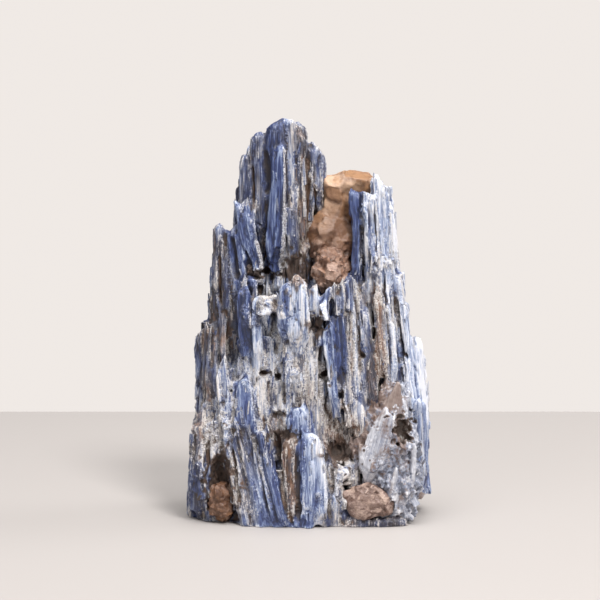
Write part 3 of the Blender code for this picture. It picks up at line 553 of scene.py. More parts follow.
@dataclass
class Batch:
    """Shards that are gathered into one mesh."""

    points: list = field(default_factory=list)
    faces: list = field(default_factory=list)
    grain: list = field(default_factory=list)
    own: list = field(default_factory=list)  # tone, stain, frost, strength of the tone, painted shade in a crease
    frames: list = field(default_factory=list)  # each shard's foot, axes, shift and tally of points
    sheet: list = field(default_factory=list)  # the unrolled surface, a corner at a time
    islands: list = field(default_factory=list)  # how wide and high each unrolled shard is
    total: int = 0

    def add(self, shard, rng, striation, station):
        size, axes = shard_axes(shard)
        columns = int(np.clip(round(shard.width / striation), 1, MOST_COLUMNS))
        stations = int(np.clip(round(size / station), 1, MOST_STATIONS))
        u = np.linspace(0, 1, columns + 1)
        u[1:-1] += rng.uniform(-0.3, 0.3, columns - 1) / columns
        s = np.linspace(0, 1, stations + 1)[:, None]

        step = rng.uniform(0, 1, columns + 1) ** 1.5
        step = step[np.sort(rng.integers(0, columns + 1, columns + 1))]
        wave = 0.6 + 0.4 * np.sin(s * size * 0.3 + step * 9.0)
        side = np.abs(2 * u - 1)
        rim = np.sqrt(1 - 0.8 * side**4)
        worn = min(0.6 * shard.width, 0.4 * size)
        nip = np.clip((s - 1) * size / worn + 1, 0, 1) ** 2
        half = shard.thick / 2 * rim * np.sqrt(1 - 0.85 * nip)
        crease = step * shard.ridge * wave
        heel = shard.heel * smooth_step(*HEEL_SIZES, size)
        sunk = heel * np.clip(1 - s * size / HEEL_LENGTH, 0, 1) ** 2
        x = (u - 0.5) * shard.width * (1 - 0.08 * s - 0.12 * shard.dome * nip)
        x = x * (1 - shard.taper * s**2.5) * (1 - 0.4 * sunk)
        x = x + rng.normal(0, 0.1) * np.sin(math.pi * s) * shard.width * 0.3
        front = -half + crease + 3.0 * sunk
        back = half - step[::-1] * shard.ridge * 0.5 + 3.0 * sunk
        round_off = (1 - np.sqrt(1 - 0.97 * side**2)) * shard.dome * shard.width * 0.5
        top = shard.slant * (2 * u - 1) - round_off + rng.normal(0, shard.jag, columns + 1)
        foot = round_off * heel * 0.8 + rng.normal(0, shard.jag, columns + 1)

        ring_x = np.concatenate((x, x[:, ::-1]), axis=1)
        ring_y = np.concatenate((front, back[:, ::-1]), axis=1)
        ring_top = np.concatenate((top, top[::-1])) + size
        ring_foot = np.concatenate((foot, foot[::-1]))
        if shard.flush:
            rise = shard.foot[2] + ring_x[0] * axes[0, 2] + ring_y[0] * axes[1, 2]
            ring_foot = -rise / axes[2, 2]
        ring_z = ring_foot + (ring_top - ring_foot) * s
        local = np.stack((ring_x, ring_y, ring_z), axis=2).reshape(-1, 3)
        points = shard.foot + local @ axes

        # The right edge is painted brighter by the shard's edge, a painted highlight; both edges and a
        # worn tip get some frost as wear.
        edge = smooth_step(0.72, 0.95, u) * shard.edge + 0.35 * side**8
        worn = np.concatenate((edge, edge[::-1])) + 0.25 * nip * rng.uniform(0, 1)
        # Painted shade in the grooves of the striations, carried as the crease look.
        deep = np.concatenate((step, step[::-1] * 0.5)) * np.ones_like(s)
        own = np.empty((len(points), 5))
        own[:, 0] = shard.tone
        own[:, 1] = shard.stain
        own[:, 2] = shard.frost + worn.ravel()
        own[:, 3] = shard.strength
        own[:, 4] = deep.ravel()
        shift = rng.uniform(0, 400, 3)
        self.own.append(own)
        self.grain.append(local + shift)
        self.frames.append((shard.foot, axes, shift, len(points)))
        self.points.append(points)
        self.add_faces(ring_x, ring_y, ring_z)
        self.total += len(points)

    def add_faces(self, ring_x, ring_y, ring_z):
        """Quads round the shard and over its two ends, and where each corner lies unrolled."""
        stations, ring = ring_z.shape[0] - 1, ring_z.shape[1]
        columns = ring // 2 - 1
        place = np.arange(ring)
        follow = (place + 1) % ring
        row = np.arange(stations)[:, None] * ring
        wall = np.stack((row + place, row + follow, row + ring + follow, row + ring + place), axis=2)
        span = np.hypot(np.diff(ring_x[0], append=ring_x[0, 0]), np.diff(ring_y[0], append=ring_y[0, 0]))
        reach = np.concatenate(((0.0,), np.cumsum(span)))
        level = ring_z.mean(axis=1)
        left = np.broadcast_to(reach[:-1], (stations, ring))
        right = np.broadcast_to(reach[1:], (stations, ring))
        low = np.broadcast_to(level[:-1, None], (stations, ring))
        high = np.broadcast_to(level[1:, None], (stations, ring))
        wall_sheet = corners((left, low), (right, low), (right, high), (left, high))
        i = np.arange(columns)
        far = ring - 1 - i
        foot_cap = np.stack((i, far, far - 1, i + 1), axis=1)
        top_cap = np.stack((i, i + 1, far - 1, far), axis=1) + stations * ring
        deep = abs(ring_y[0].max() - ring_y[0].min())
        a, b = reach[i], reach[i + 1]
        floor, roof = np.full(columns, level[0]), np.full(columns, level[-1])
        foot_sheet = corners((a, floor), (a, floor - deep), (b, floor - deep), (b, floor))
        top_sheet = corners((a, roof), (b, roof), (b, roof + deep), (a, roof + deep))
        faces = np.concatenate((wall.reshape(-1, 4), foot_cap, top_cap))
        sheet = np.concatenate((wall_sheet.reshape(-1, 4, 2), foot_sheet, top_sheet))
        low_corner = sheet.reshape(-1, 2).min(axis=0)
        self.faces.append(faces + self.total)
        self.sheet.append(sheet - low_corner)
        self.islands.append(sheet.reshape(-1, 2).max(axis=0) - low_corner)


# ---- Looks of each place, and meshes ----


def place_tints(points):
    """Tone, stain and frost at each point, from the patches near it on the front."""
    front = 1 - smooth_step(-4, 10, points[:, 1])
    weights = [np.full(len(points), ELSEWHERE_WEIGHT)]
    for patch in PATCHES:
        across = (points[:, 0] - patch.x) / patch.reach_x
        up = (points[:, 2] - patch.z) / patch.reach_z
        weights.append(np.exp(-(across**2) - up**2) * front)
    weights = np.stack(weights, axis=1)
    looks = np.array([patch[5:] for patch in (ELSEWHERE,) + PATCHES])
    tints = weights @ looks / weights.sum(axis=1)[:, None]
    for pitch, rise, strength in DRIFTS:
        steps = points / np.array((pitch, pitch, rise))
        drift = [noise(steps + 3.1 * index) for index, noise in enumerate(NOISES[:3])]
        tints += np.stack(drift, axis=1) * np.array(strength)
    return tints


DEEPER = 4  # how far past its half size a hole reaches into the mass


def hole_reach(points, lump, margin):
    """How far each point is from a ragged hole's middle: 1 at its rim."""
    reach = (points - np.array(lump.middle)) / (np.array(lump.half) + np.array((margin, DEEPER, margin)))
    ragged = 1 + 0.6 * NOISES[3](points / 1.9) + 0.3 * NOISES[1](points / 0.8)
    return np.linalg.norm(reach, axis=1) * ragged


def gap_depth(points):
    """How deep in a gap between two blades each point lies, from 0 to 1."""
    depth = np.zeros(len(points))
    place = points[:, [0, 2]] + np.stack((0.5 * NOISES[2](points / 4.0), np.zeros(len(points))), axis=1)
    front = 1 - smooth_step(-6, 2, points[:, 1])
    for foot, tip, width in GAPS:
        along = np.array(tip) - foot
        part = np.clip((place - foot) @ along / (along @ along), 0, 1)
        away = np.linalg.norm(place - foot - along * part[:, None], axis=1)
        ends = smooth_step(0, 0.15, part) * smooth_step(0, 0.15, 1 - part)
        depth = np.maximum(depth, (1 - smooth_step(0.2 * width, width, away)) * ends)
    return depth * front


def cave_shade(points):
    """How far inside a hollow or a pinhole each point lies, and how deep, both from 0 to 1; add_tint
    paints shade by these amounts.
    """
    shade = np.zeros(len(points))
    deep = np.zeros(len(points))
    for lump in (*HOLLOWS, *PINHOLES, MICA_POCKET):
        inside = 1 - smooth_step(0.85, 1.25, hole_reach(points, lump, 0.4))
        into = (points[:, 1] - lump.middle[1]) / lump.half[1]
        shade = np.maximum(shade, inside)
        deep = np.maximum(deep, inside * smooth_step(-0.8, 0.15, into))
    return shade, deep


def roughen(points, amount, pitch):
    """Points moved by smooth noise with waves of about that pitch, in millimetres."""
    offsets = [noise(points / pitch + 7.7 * index) for index, noise in enumerate(NOISES[:3])]
    return points + np.stack(offsets, axis=1) * amount


def unrolled(batch):
    """Every corner's place on the bake's sheet: the islands stand in rows, tallest first."""
    sizes = np.array(batch.islands) + 0.5
    order = np.argsort(-sizes[:, 1])
    side = math.sqrt((sizes[:, 0] * sizes[:, 1]).sum()) * 1.06
    places = np.zeros((len(sizes), 2))
    x = y = row_height = 0.0
    for index in order:
        wide, high = sizes[index]
        if x + wide > side:
            x = 0.0
            y += row_height
            row_height = 0.0
        places[index] = x, y
        x += wide
        row_height = max(row_height, high)
    scale = 1.0 / max(side, y + row_height)
    placed = [sheet + place for sheet, place in zip(batch.sheet, places)]
    return np.concatenate(placed).reshape(-1, 2) * scale


def mesh_of(name, points, faces):
    """A mesh of points in millimetres and four-cornered faces."""
    mesh = bpy.data.meshes.new(name)
    mesh.vertices.add(len(points))
    mesh.vertices.foreach_set("co", (points * MM).ravel())
    mesh.loops.add(faces.size)
    mesh.loops.foreach_set("vertex_index", faces.ravel())
    mesh.polygons.add(len(faces))
    mesh.polygons.foreach_set("loop_start", np.arange(0, faces.size, 4))
    mesh.update(calc_edges=True)
    return mesh


# Painted shade, with a brown stain, in a cave: the looks of its rim and of its floor, and how much of
# its place's own looks a cave keeps.
CAVE_RIM = np.array((0.30, 1.25, 0.30, 0.15))
CAVE_FLOOR = np.array((0.05, 1.30, -0.20, 1.10))
CAVE_KEEPS = np.array((0.6, 0.2, 0.8, 0.8))


def add_tint(mesh, points, own):
    """The looks of each point: red tone, green stain, blue frost, alpha painted shade in a crease."""
    tints = place_tints(points)
    keep = own[:, 3]
    tints[:, 0] = tints[:, 0] * (1 - keep) + own[:, 0]
    tints[:, 1] = tints[:, 1] * (1 - 0.3 * keep) + own[:, 1]
    tints[:, 2] = tints[:, 2] * (1 - 0.6 * keep) + own[:, 2]
    crusted = np.clip(tints[:, 2:3], 0, 1)
    colours = np.concatenate((tints, own[:, 4:5] * (1 - 0.65 * crusted)), axis=1)
    # In hollows and pinholes the looks turn to painted shade, darker towards the floor, with a brown
    # stain.
    shade, deep = (value[:, None] for value in cave_shade(points))
    cave = CAVE_RIM + (CAVE_FLOOR - CAVE_RIM) * deep + (colours - CAVE_RIM) * CAVE_KEEPS
    colours = colours + (cave - colours) * shade
    add_colours(mesh, "tint", np.clip(colours, -0.6, 2.4))


def add_vectors(mesh, name, domain, values):
    layer = mesh.attributes.new(name, "FLOAT_VECTOR", domain)
    layer.data.foreach_set("vector", values.ravel())


def add_colours(mesh, name, values):
    layer = mesh.attributes.new(name, "FLOAT_COLOR", "POINT")
    layer.data.foreach_set("color", values.ravel())


def finish_piece(name, mesh, node, slot, material, sharp):
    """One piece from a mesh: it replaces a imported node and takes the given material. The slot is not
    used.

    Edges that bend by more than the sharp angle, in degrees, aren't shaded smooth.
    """
    mesh.polygons.foreach_set("use_smooth", np.ones(len(mesh.polygons), bool))
    mesh.set_sharp_from_angle(angle=math.radians(sharp))
    mesh.materials.clear()
    mesh.materials.append(material)
    piece = bpy.data.objects.new(name, mesh)
    bpy.context.scene.collection.objects.link(piece)
    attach(piece, "root")
    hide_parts(node)


# ---- Blades ----


# The lead blades and the laid ones as seen from the front: x and z of foot and tip, and width.
LEAD_LINES = [
    (np.array(lead.foot)[[0, 2]], np.array(lead.tip)[[0, 2]], lead.width) for lead in LEADS
] + [(np.array(blade.foot), np.array(blade.tip), blade.width) for blade in LAID]
SHORTEST = 3.0  # what is left of a cut shard has to be longer than this
LOWEST = 0.6  # a shard that starts lower is cut level with the base
PROUD = 1.3  # how far a lead blade stands out from the ends that its table gives
GOLDEN = 0.618  # steps of this share of a turn spread the blades evenly


def inside_any(point, lumps, margin):
    """Whether a point lies in one of these lumps, or within a margin of it."""
    for lump in lumps:
        reach = (point - np.array(lump.middle)) / (np.array(lump.half) + margin)
        if np.dot(reach, reach) < 1:
            return True
    return False


def lead_ground(point, margin):
    """Whether a point on the front lies over a lead blade or a laid one, as seen from the front."""
    for foot, tip, width in LEAD_LINES:
        along = tip - foot
        part = np.clip(np.dot(point[[0, 2]] - foot, along) / np.dot(along, along), 0, 1)
        if np.linalg.norm(point[[0, 2]] - foot - along * part) < width / 2 + margin:
            return True
    return False


def open_spans(shard, keep_clear):
    """The stretches of a shard, from 0 to 1, that clear the hollows and the other minerals."""
    size, axes = shard_axes(shard)
    shares = np.linspace(0, 1, max(4, int(size)))
    clear = []
    for part in shares:
        heart = shard.foot + (shard.tip - shard.foot) * part
        skin = heart - axes[1] * shard.thick * 0.4
        clear.append(
            not inside_any(skin, HOLLOWS + PINHOLES, shard.width * 0.25)
            and not inside_any(heart, HOLLOWS, 0.0)
            and not inside_any(skin, LUMPS, -0.6)
            and not inside_any(heart, LUMPS, -1.0)
            and not (keep_clear and skin[1] < 0 and lead_ground(skin, shard.width * 0.1))
        )
    spans = []
    start = None
    for part, free in zip(shares, clear):
        if free and start is None:
            start = part
        if start is not None and not free:
            spans.append((start, part))
            start = None
    if start is not None:
        spans.append((start, 1.0))
    return [span for span in spans if (span[1] - span[0]) * size > SHORTEST]


def plant(batch, shard, rng, sizes, keep_clear=False):
    """Adds what is left of a shard once it is cut clear of the hollows and lumps.

    It can also be kept clear of the ground of the lead blades.
    """
    axis = shard.tip - shard.foot
    for start, end in open_spans(shard, keep_clear):
        whole_tip = end == 1.0
        part = replace(
            shard,
            foot=shard.foot + axis * start,
            tip=shard.foot + axis * end,
            slant=shard.slant if whole_tip else 0.0,
            dome=shard.dome if whole_tip else 0.2,
            taper=shard.taper if whole_tip else 0.0,
        )
        if part.foot[2] < LOWEST:
            along = unit(axis)
            part.foot = part.foot - along * (part.foot[2] / along[2])
            part.flush = True
        batch.add(part, rng, sizes.striation / MM, sizes.station / MM)


def strands(shard, parts, rng):
    """A blade parts along its length into strands that end at different heights."""
    size, axes = shard_axes(shard)
    cuts = np.cumsum(rng.uniform(0.6, 1.4, parts))
    cuts = np.concatenate(((0.0,), cuts / cuts[-1]))
    tallest = rng.integers(0, parts)
    for index in range(parts):
        middle = (cuts[index] + cuts[index + 1]) / 2 - 0.5
        wide = (cuts[index + 1] - cuts[index]) * shard.width
        depth = rng.uniform(-0.22, 0.22) * shard.thick if parts > 1 else 0.0
        shift = axes[0] * middle * shard.width + axes[1] * depth
        drop = 0.0 if index == tallest else rng.uniform(0.0, 0.5) ** 2 * size * 0.5
        lift = rng.uniform(0.0, 0.06) * size if shard.foot[2] > 1 else 0.0
        lean = axes[0] * rng.normal(0, 0.008) * size + axes[1] * rng.normal(0, 0.006) * size
        yield replace(
            shard,
            foot=shard.foot + shift + axes[2] * lift,
            tip=shard.tip + shift + lean - axes[2] * drop + axes[2] * shard.slant * 2 * middle,
            width=wide * rng.uniform(1.05, 1.25),
            thick=shard.thick * rng.uniform(0.75, 1.1),
            slant=shard.slant / parts + rng.uniform(-0.2, 0.2) * wide,
            dome=0.6 if parts == 1 else rng.uniform(0.6, 1.3),
            taper=shard.taper * rng.uniform(0.4, 1.6),
            tone=shard.tone + rng.normal(0, 0.07),
            edge=shard.edge if index == parts - 1 else shard.edge * 0.5,
        )


def lead_shard(lead, sizes):
    """A lead blade: the purer its blue, the less it takes the stain and frost of its place."""
    strength = 0.85 if lead.pure >= 0 else 0.3
    proud = heading_vector(lead.heading) * PROUD
    return Shard(
        foot=np.array(lead.foot, float) + proud,
        tip=np.array(lead.tip, float) + proud,
        width=lead.width,
        thick=lead.thick * 1.1,
        facing=heading_vector(lead.heading),
        slant=lead.slant,
        heel=1.0,
        taper=0.22,
        ridge=sizes.ridge / MM,
        jag=sizes.jag / MM * 0.6,
        tone=lead.tone * strength,
        stain=0.12 - 0.75 * lead.pure,
        frost=-0.40 * lead.pure,
        edge=lead.edge,
        strength=strength,
    )


def standing_shards(column, rng, sizes):
    """Blades that stand in tiers round a column, sunk a little into its side."""
    foot, top = np.array(column.foot, float), np.array(column.top, float)
    span = column.end - column.start
    mean_half = sum(column.foot_half + column.top_half) / 4
    pitch = math.radians(span) * mean_half / column.blades
    total = round(column.blades * sizes.crowding)
    for index in range(total):
        turn = column.start + span * ((index * GOLDEN + rng.uniform(0, 0.1)) % 1.0)
        side = heading_vector(turn)
        low = foot + side * np.array(column.foot_half + (0,))
        high = top + side * np.array(column.top_half + (0,))
        width = pitch * rng.uniform(0.7, 1.7)
        thick = width * rng.uniform(0.35, 0.6)
        sunk = side * (thick * rng.uniform(0.1, 0.6) + 0.3)
        tier = rng.uniform(-0.15, 0.85)
        reach = rng.uniform(0.18, 0.60)
        begin, end = tier, min(tier + reach, rng.uniform(0.80, 0.98))
        if end - begin < 0.12:
            continue
        axis = high - low
        aslant = np.array((-side[1], side[0], 0)) * rng.normal(0, 0.045) * (end - begin)
        aslant = aslant * np.linalg.norm(axis)
        yield Shard(
            foot=low + axis * begin - sunk - aslant,
            tip=low + axis * end - sunk + aslant,
            width=width,
            thick=thick,
            facing=heading_vector(turn + rng.uniform(-24, 24)),
            slant=rng.uniform(-0.35, 0.35) * width,
            taper=0.35,
            ridge=sizes.ridge / MM,
            jag=sizes.jag / MM,
            tone=rng.normal(0, 0.17),
            stain=rng.uniform(-0.25, 0.25),
            frost=rng.uniform(-0.25, 0.15),
        )


LAID_STATIONS = (0.12, 0.35, 0.6, 0.85)  # where along a laid blade the rays look for the mass


def laid_shard(blade, tree, sizes):
    """A blade on the front of the mass, along the line where rays from the front meet it."""
    depths = []
    for part in LAID_STATIONS:
        x = blade.foot[0] + (blade.tip[0] - blade.foot[0]) * part
        z = max(blade.foot[1] + (blade.tip[1] - blade.foot[1]) * part, 0.5)
        hit = tree.ray_cast(Vector((x, FRONT_Y, z)) * MM, INWARD)[0]
        if hit is not None:
            depths.append((part, hit.y / MM))
    parts, places = np.array(depths).T
    slope, start = np.polyfit(parts, places, 1)
    slope = float(np.clip(slope, -10, 18))
    start = np.mean(places - slope * parts)
    thick = blade.width * 0.62
    start -= 0.6 * max(0.0, float(np.max(start + slope * parts - places))) - thick * 0.12
    heading = FRONT + blade.foot[0] * 0.9
    return Shard(
        foot=np.array((blade.foot[0], start, blade.foot[1])),
        tip=np.array((blade.tip[0], start + slope, blade.tip[1])),
        width=blade.width,
        thick=thick,
        heel=0.8,
        taper=0.25,
        facing=heading_vector(heading),
        ridge=sizes.ridge / MM,
        jag=sizes.jag / MM,
        tone=blade.tone * 0.85,
        stain=blade.stain * 0.6,
        frost=blade.frost * 0.5,
        # A painted highlight on the right edge.
        edge=0.35,
        strength=0.85,
    )


def all_blades(settings):
    """Every blade: the lead blades, the laid ones, and those that stand round the columns."""
    sizes = settings.blades
    batch = Batch()
    rng = np.random.default_rng(sizes.seed)
    for lead in LEADS:
        for strand in strands(lead_shard(lead, sizes), lead.parts, rng):
            plant(batch, strand, rng, sizes)
    rng = np.random.default_rng(sizes.seed + 2)
    tree = surface_of(packed_mesh("kyanite_blades"))
    for blade in LAID:
        shard = laid_shard(blade, tree, sizes)
        for strand in strands(shard, 2 if blade.width > 3 else 1, rng):
            plant(batch, strand, rng, sizes)
    rng = np.random.default_rng(sizes.seed + 1)
    for column in COLUMNS:
        for shard in standing_shards(column, rng, sizes):
            parts = max(1, round(shard.width / (sizes.strand / MM)))
            for strand in strands(shard, parts, rng):
                plant(batch, strand, rng, sizes, keep_clear=True)
    add_crumbs(batch, settings.splinters)
    return batch


def add_crumbs(batch, sizes):
    """Knots of crushed grains on the blades, in the most frosted places."""
    rng = np.random.default_rng(sizes.seed + 1)
    points = np.concatenate(batch.points).tolist()
    tree = BVHTree.FromPolygons(points, np.concatenate(batch.faces).tolist())
    size = sizes.grain / MM
    weights = np.array([patch.frost**9 * patch.reach_x * patch.reach_z for patch in PATCHES])
    for index in rng.choice(len(PATCHES), sizes.grains, p=weights / weights.sum()):
        patch = PATCHES[index]
        x = rng.normal(patch.x, patch.reach_x * 0.5)
        z = max(rng.normal(patch.z, patch.reach_z * 0.5), 2.0)
        hit = tree.ray_cast(Vector((x, -100, z)), INWARD)[0]
        if hit is None or inside_any(np.array(hit), HOLLOWS + PINHOLES + LUMPS, 0.3):
            continue
        long = size * rng.uniform(0.5, 1.3)
        rise = unit(rng.normal(0, 1, 3) + np.array((0, 0, 1.4)))
        foot = np.array(hit) - rise * long * 0.5
        crumb = Shard(
            foot=foot,
            tip=foot + rise * long,
            width=long * rng.uniform(0.6, 1.0),
            thick=long * rng.uniform(0.5, 0.9),
            facing=unit(np.cross(rise, rng.normal(0, 1, 3))),
            ridge=0.0,
            jag=0.1,
            tone=patch.tone * 0.7 + rng.normal(-0.05, 0.2),
            stain=rng.uniform(-0.1, 0.3),
            frost=rng.uniform(-0.5, 0.0),
            strength=0.7,
        )
        batch.add(crumb, rng, 0.9, 0.9)


# ---- Materials ----


class Nodes:
    """Short calls for building a node tree."""

    def __init__(self, tree):
        self.tree = tree

    def add(self, kind, **values):
        node = self.tree.nodes.new(kind)
        for key, value in values.items():
            setattr(node, key, value)
        return node

    def put(self, node, socket, value):
        target = node.inputs[socket]
        if isinstance(value, bpy.types.NodeSocket):
            self.tree.links.new(value, target)
        else:
            target.default_value = value

    def math(self, operation, *values, clamp=False):
        node = self.add("ShaderNodeMath", operation=operation, use_clamp=clamp)
        for index, value in enumerate(values):
            self.put(node, index, value)
        return node.outputs[0]

    def vector(self, operation, first, second):
        node = self.add("ShaderNodeVectorMath", operation=operation)
        self.put(node, 0, first)
        self.put(node, 1, second)
        return node.outputs[0]

    def noise(self, vector, scale=1.0, detail=3.0, rough=0.55):
        node = self.add("ShaderNodeTexNoise")
        self.put(node, "Vector", vector)
        self.put(node, "Scale", scale)
        self.put(node, "Detail", detail)
        self.put(node, "Roughness", rough)
        return node.outputs["Fac"]

    def mix(self, factor, first, second):
        node = self.add("ShaderNodeMix", data_type="RGBA", clamp_factor=True)
        self.put(node, 0, factor)
        self.put(node, 6, first)
        self.put(node, 7, second)
        return node.outputs[2]

    def ramp(self, factor, *stops):
        node = self.add("ShaderNodeValToRGB")
        elements = node.color_ramp.elements
        elements.remove(elements[-1])
        elements[0].position = stops[0][0]
        for place, _ in stops[1:]:
            elements.new(place)
        for element, (_, tint) in zip(elements, stops):
            element.color = (*tint, 1.0)
        self.put(node, "Fac", factor)
        return node.outputs["Color"]

    def times(self, first, second, clamp=False):
        return self.math("MULTIPLY", first, second, clamp=clamp)

    def total(self, *values):
        result = values[0]
        for value in values[1:]:
            result = self.math("ADD", result, value)
        return result

    def offset(self, value, amount):
        """How far a value lies from a half, times an amount."""
        return self.times(self.math("SUBTRACT", value, 0.5), amount)

    def over(self, value, start, gain):
        """How far a value lies past a start, times a gain, kept between 0 and 1."""
        return self.times(self.math("SUBTRACT", value, start), gain, clamp=True)

    def attribute(self, name):
        return self.add("ShaderNodeAttribute", attribute_name=name).outputs

    def channels(self, name):
        """The red, green, blue and alpha of a colour attribute."""
        looks = self.attribute(name)
        split = self.add("ShaderNodeSeparateColor")
        self.put(split, "Color", looks["Color"])
        return (*split.outputs, looks["Alpha"])

    def group(self, tree, **values):
        """A group with these values on its sockets: its outputs, in order."""
        node = self.add("ShaderNodeGroup", node_tree=tree)
        for socket, value in values.items():
            self.put(node, socket, value)
        return node.outputs

    def bump(self, height, strength, depth):
        node = self.add("ShaderNodeBump")
        self.put(node, "Strength", strength)
        self.put(node, "Distance", depth)
        self.put(node, "Height", height)
        return node.outputs["Normal"]


def new_group(name, inputs, outputs):
    """An empty node group with these sockets, given as (name, socket type) pairs, and its ends."""
    tree = bpy.data.node_groups.new(name, "ShaderNodeTree")
    for socket, kind in inputs:
        tree.interface.new_socket(socket, in_out="INPUT", socket_type=kind)
    for socket, kind in outputs:
        tree.interface.new_socket(socket, in_out="OUTPUT", socket_type=kind)
    nodes = Nodes(tree)
    return nodes, nodes.add("NodeGroupInput").outputs, nodes.add("NodeGroupOutput")


def streak_group():
    """Streaks that run along the grain, at two scales, and blotches across it."""
    name = "Grain Streaks"
    if name not in bpy.data.node_groups:
        nodes, source, target = new_group(
            name,
            [("Grain", "NodeSocketVector")],
            [("Broad", "NodeSocketFloat"), ("Fine", "NodeSocketFloat"), ("Blotch", "NodeSocketFloat")],
        )
        broad = nodes.vector("MULTIPLY", source["Grain"], (0.55, 0.55, 0.04))
        fine = nodes.vector("MULTIPLY", source["Grain"], (1.9, 1.9, 0.10))
        blotch = nodes.vector("MULTIPLY", source["Grain"], (0.36, 0.36, 0.24))
        nodes.put(target, "Broad", nodes.noise(broad, 1.0, 4.0, 0.6))
        nodes.put(target, "Fine", nodes.noise(fine, 1.0, 4.0, 0.65))
        nodes.put(target, "Blotch", nodes.noise(blotch, 1.0, 5.0, 0.65))
    return bpy.data.node_groups[name]


def speckle_group():
    """Crushed grains of the given size in millimetres: how near each middle is, and its shade."""
    name = "Crushed Grains"
    if name not in bpy.data.node_groups:
        nodes, source, target = new_group(
            name,
            [("Grain", "NodeSocketVector"), ("Size", "NodeSocketFloat")],
            [("Specks", "NodeSocketFloat"), ("Shade", "NodeSocketFloat")],
        )
        cells = nodes.add("ShaderNodeTexVoronoi")
        nodes.put(cells, "Vector", source["Grain"])
        nodes.put(cells, "Scale", nodes.math("DIVIDE", 1.0, source["Size"]))
        shade = nodes.add("ShaderNodeSeparateColor")
        nodes.put(shade, "Color", cells.outputs["Color"])
        nodes.put(target, "Specks", nodes.math("SUBTRACT", 1.0, cells.outputs["Distance"]))
        nodes.put(target, "Shade", shade.outputs["Red"])
    return bpy.data.node_groups[name]


def principled(name):
    """A material, the calls that build its nodes, and its shader."""
    material = bpy.data.materials.new(name)
    material.use_nodes = True
    material.node_tree.nodes.clear()
    nodes = Nodes(material.node_tree)
    shader = nodes.add("ShaderNodeBsdfPrincipled")
    nodes.put(nodes.add("ShaderNodeOutputMaterial"), "Surface", shader.outputs["BSDF"])
    return material, nodes, shader


def kyanite_material(name, colours, darkness):
    """Blue streaks along each blade, dulled by iron, frosted where it is broken or crushed, with painted
    shade in its creases.
    """
    material, nodes, shader = principled(name)
    grain = nodes.attribute("grain")["Vector"]
    tone, stain, frost, crease = nodes.channels("tint")
    broad, fine, blotch = nodes.group(streak_group(), Grain=grain)
    specks, shade_of_speck = nodes.group(speckle_group(), Grain=grain, Size=0.6)
    offset, total, over, times = nodes.offset, nodes.total, nodes.over, nodes.times

    crumb = nodes.noise(grain, 1.3, 4.0, 0.6)
    gritty = times(offset(crumb, 2.4), nodes.math("ADD", frost, 0.1, clamp=True))
    shade = total(tone, offset(broad, 1.1), offset(fine, 1.6), times(gritty, 0.4), -darkness)
    blue = nodes.ramp(
        shade,
        (0.0, colours.navy),
        (0.22, colours.deep),
        (0.45, colours.middle),
        (0.70, colours.pale),
        (1.0, colours.white),
    )
    grey = nodes.ramp(
        shade,
        (0.0, colours.dirt_and_shade),
        (0.18, colours.shadow),
        (0.46, colours.dull),
        (0.72, colours.ash),
        (1.0, colours.frost),
    )
    dullness = over(total(stain, offset(blotch, 0.7), offset(broad, 1.5), offset(fine, 0.8)), 0.10, 1.6)
    base = nodes.mix(times(dullness, 0.90), blue, grey)
    rust = over(total(stain, offset(blotch, 1.2), offset(broad, 1.4), offset(fine, 1.2)), 0.80, 2.2)
    brown = nodes.mix(fine, (*colours.dirt_and_shade, 1), (*colours.rust, 1))
    base = nodes.mix(times(rust, 0.85), base, brown)
    lines = times(offset(fine, 2.6), nodes.math("ADD", frost, 0.3, clamp=True))
    worn = over(total(frost, offset(broad, 0.9), lines, gritty), 0.46, 1.7)
    bleached = nodes.mix(dullness, (*colours.white, 1), (*colours.frost, 1))
    base = nodes.mix(times(worn, 0.75), base, bleached)
    crushed = over(total(frost, offset(blotch, 1.4), offset(specks, 0.5)), 0.82, 2.4)
    grit = nodes.ramp(
        shade_of_speck,
        (0.0, colours.brown),
        (0.20, colours.dull),
        (0.50, colours.ash),
        (0.75, colours.frost),
        (1.0, colours.white),
    )
    base = nodes.mix(times(crushed, 0.7), base, grit)
    # Painted shade in creases, gaps and hollows: navy grey where the blades are clean, dirt and shade
    # brown where stained.
    creased = times(crease, total(0.75, offset(fine, 1.0)), clamp=True)
    gap = nodes.mix(over(stain, 0.25, 2.0), (*colours.gap, 1), (*colours.dirt_and_shade, 1))
    nodes.put(shader, "Base Color", nodes.mix(creased, base, gap))

    rough = total(0.24, times(fine, 0.26), times(worn, 0.25), times(creased, 0.4))
    nodes.put(shader, "Roughness", rough)
    height = total(fine, times(broad, 0.6), times(specks, crushed), times(crumb, total(0.6, frost)))
    nodes.put(shader, "Normal", nodes.bump(height, 0.8, 0.5 * MM))
    shader.inputs["IOR"].default_value = 1.65
    return material


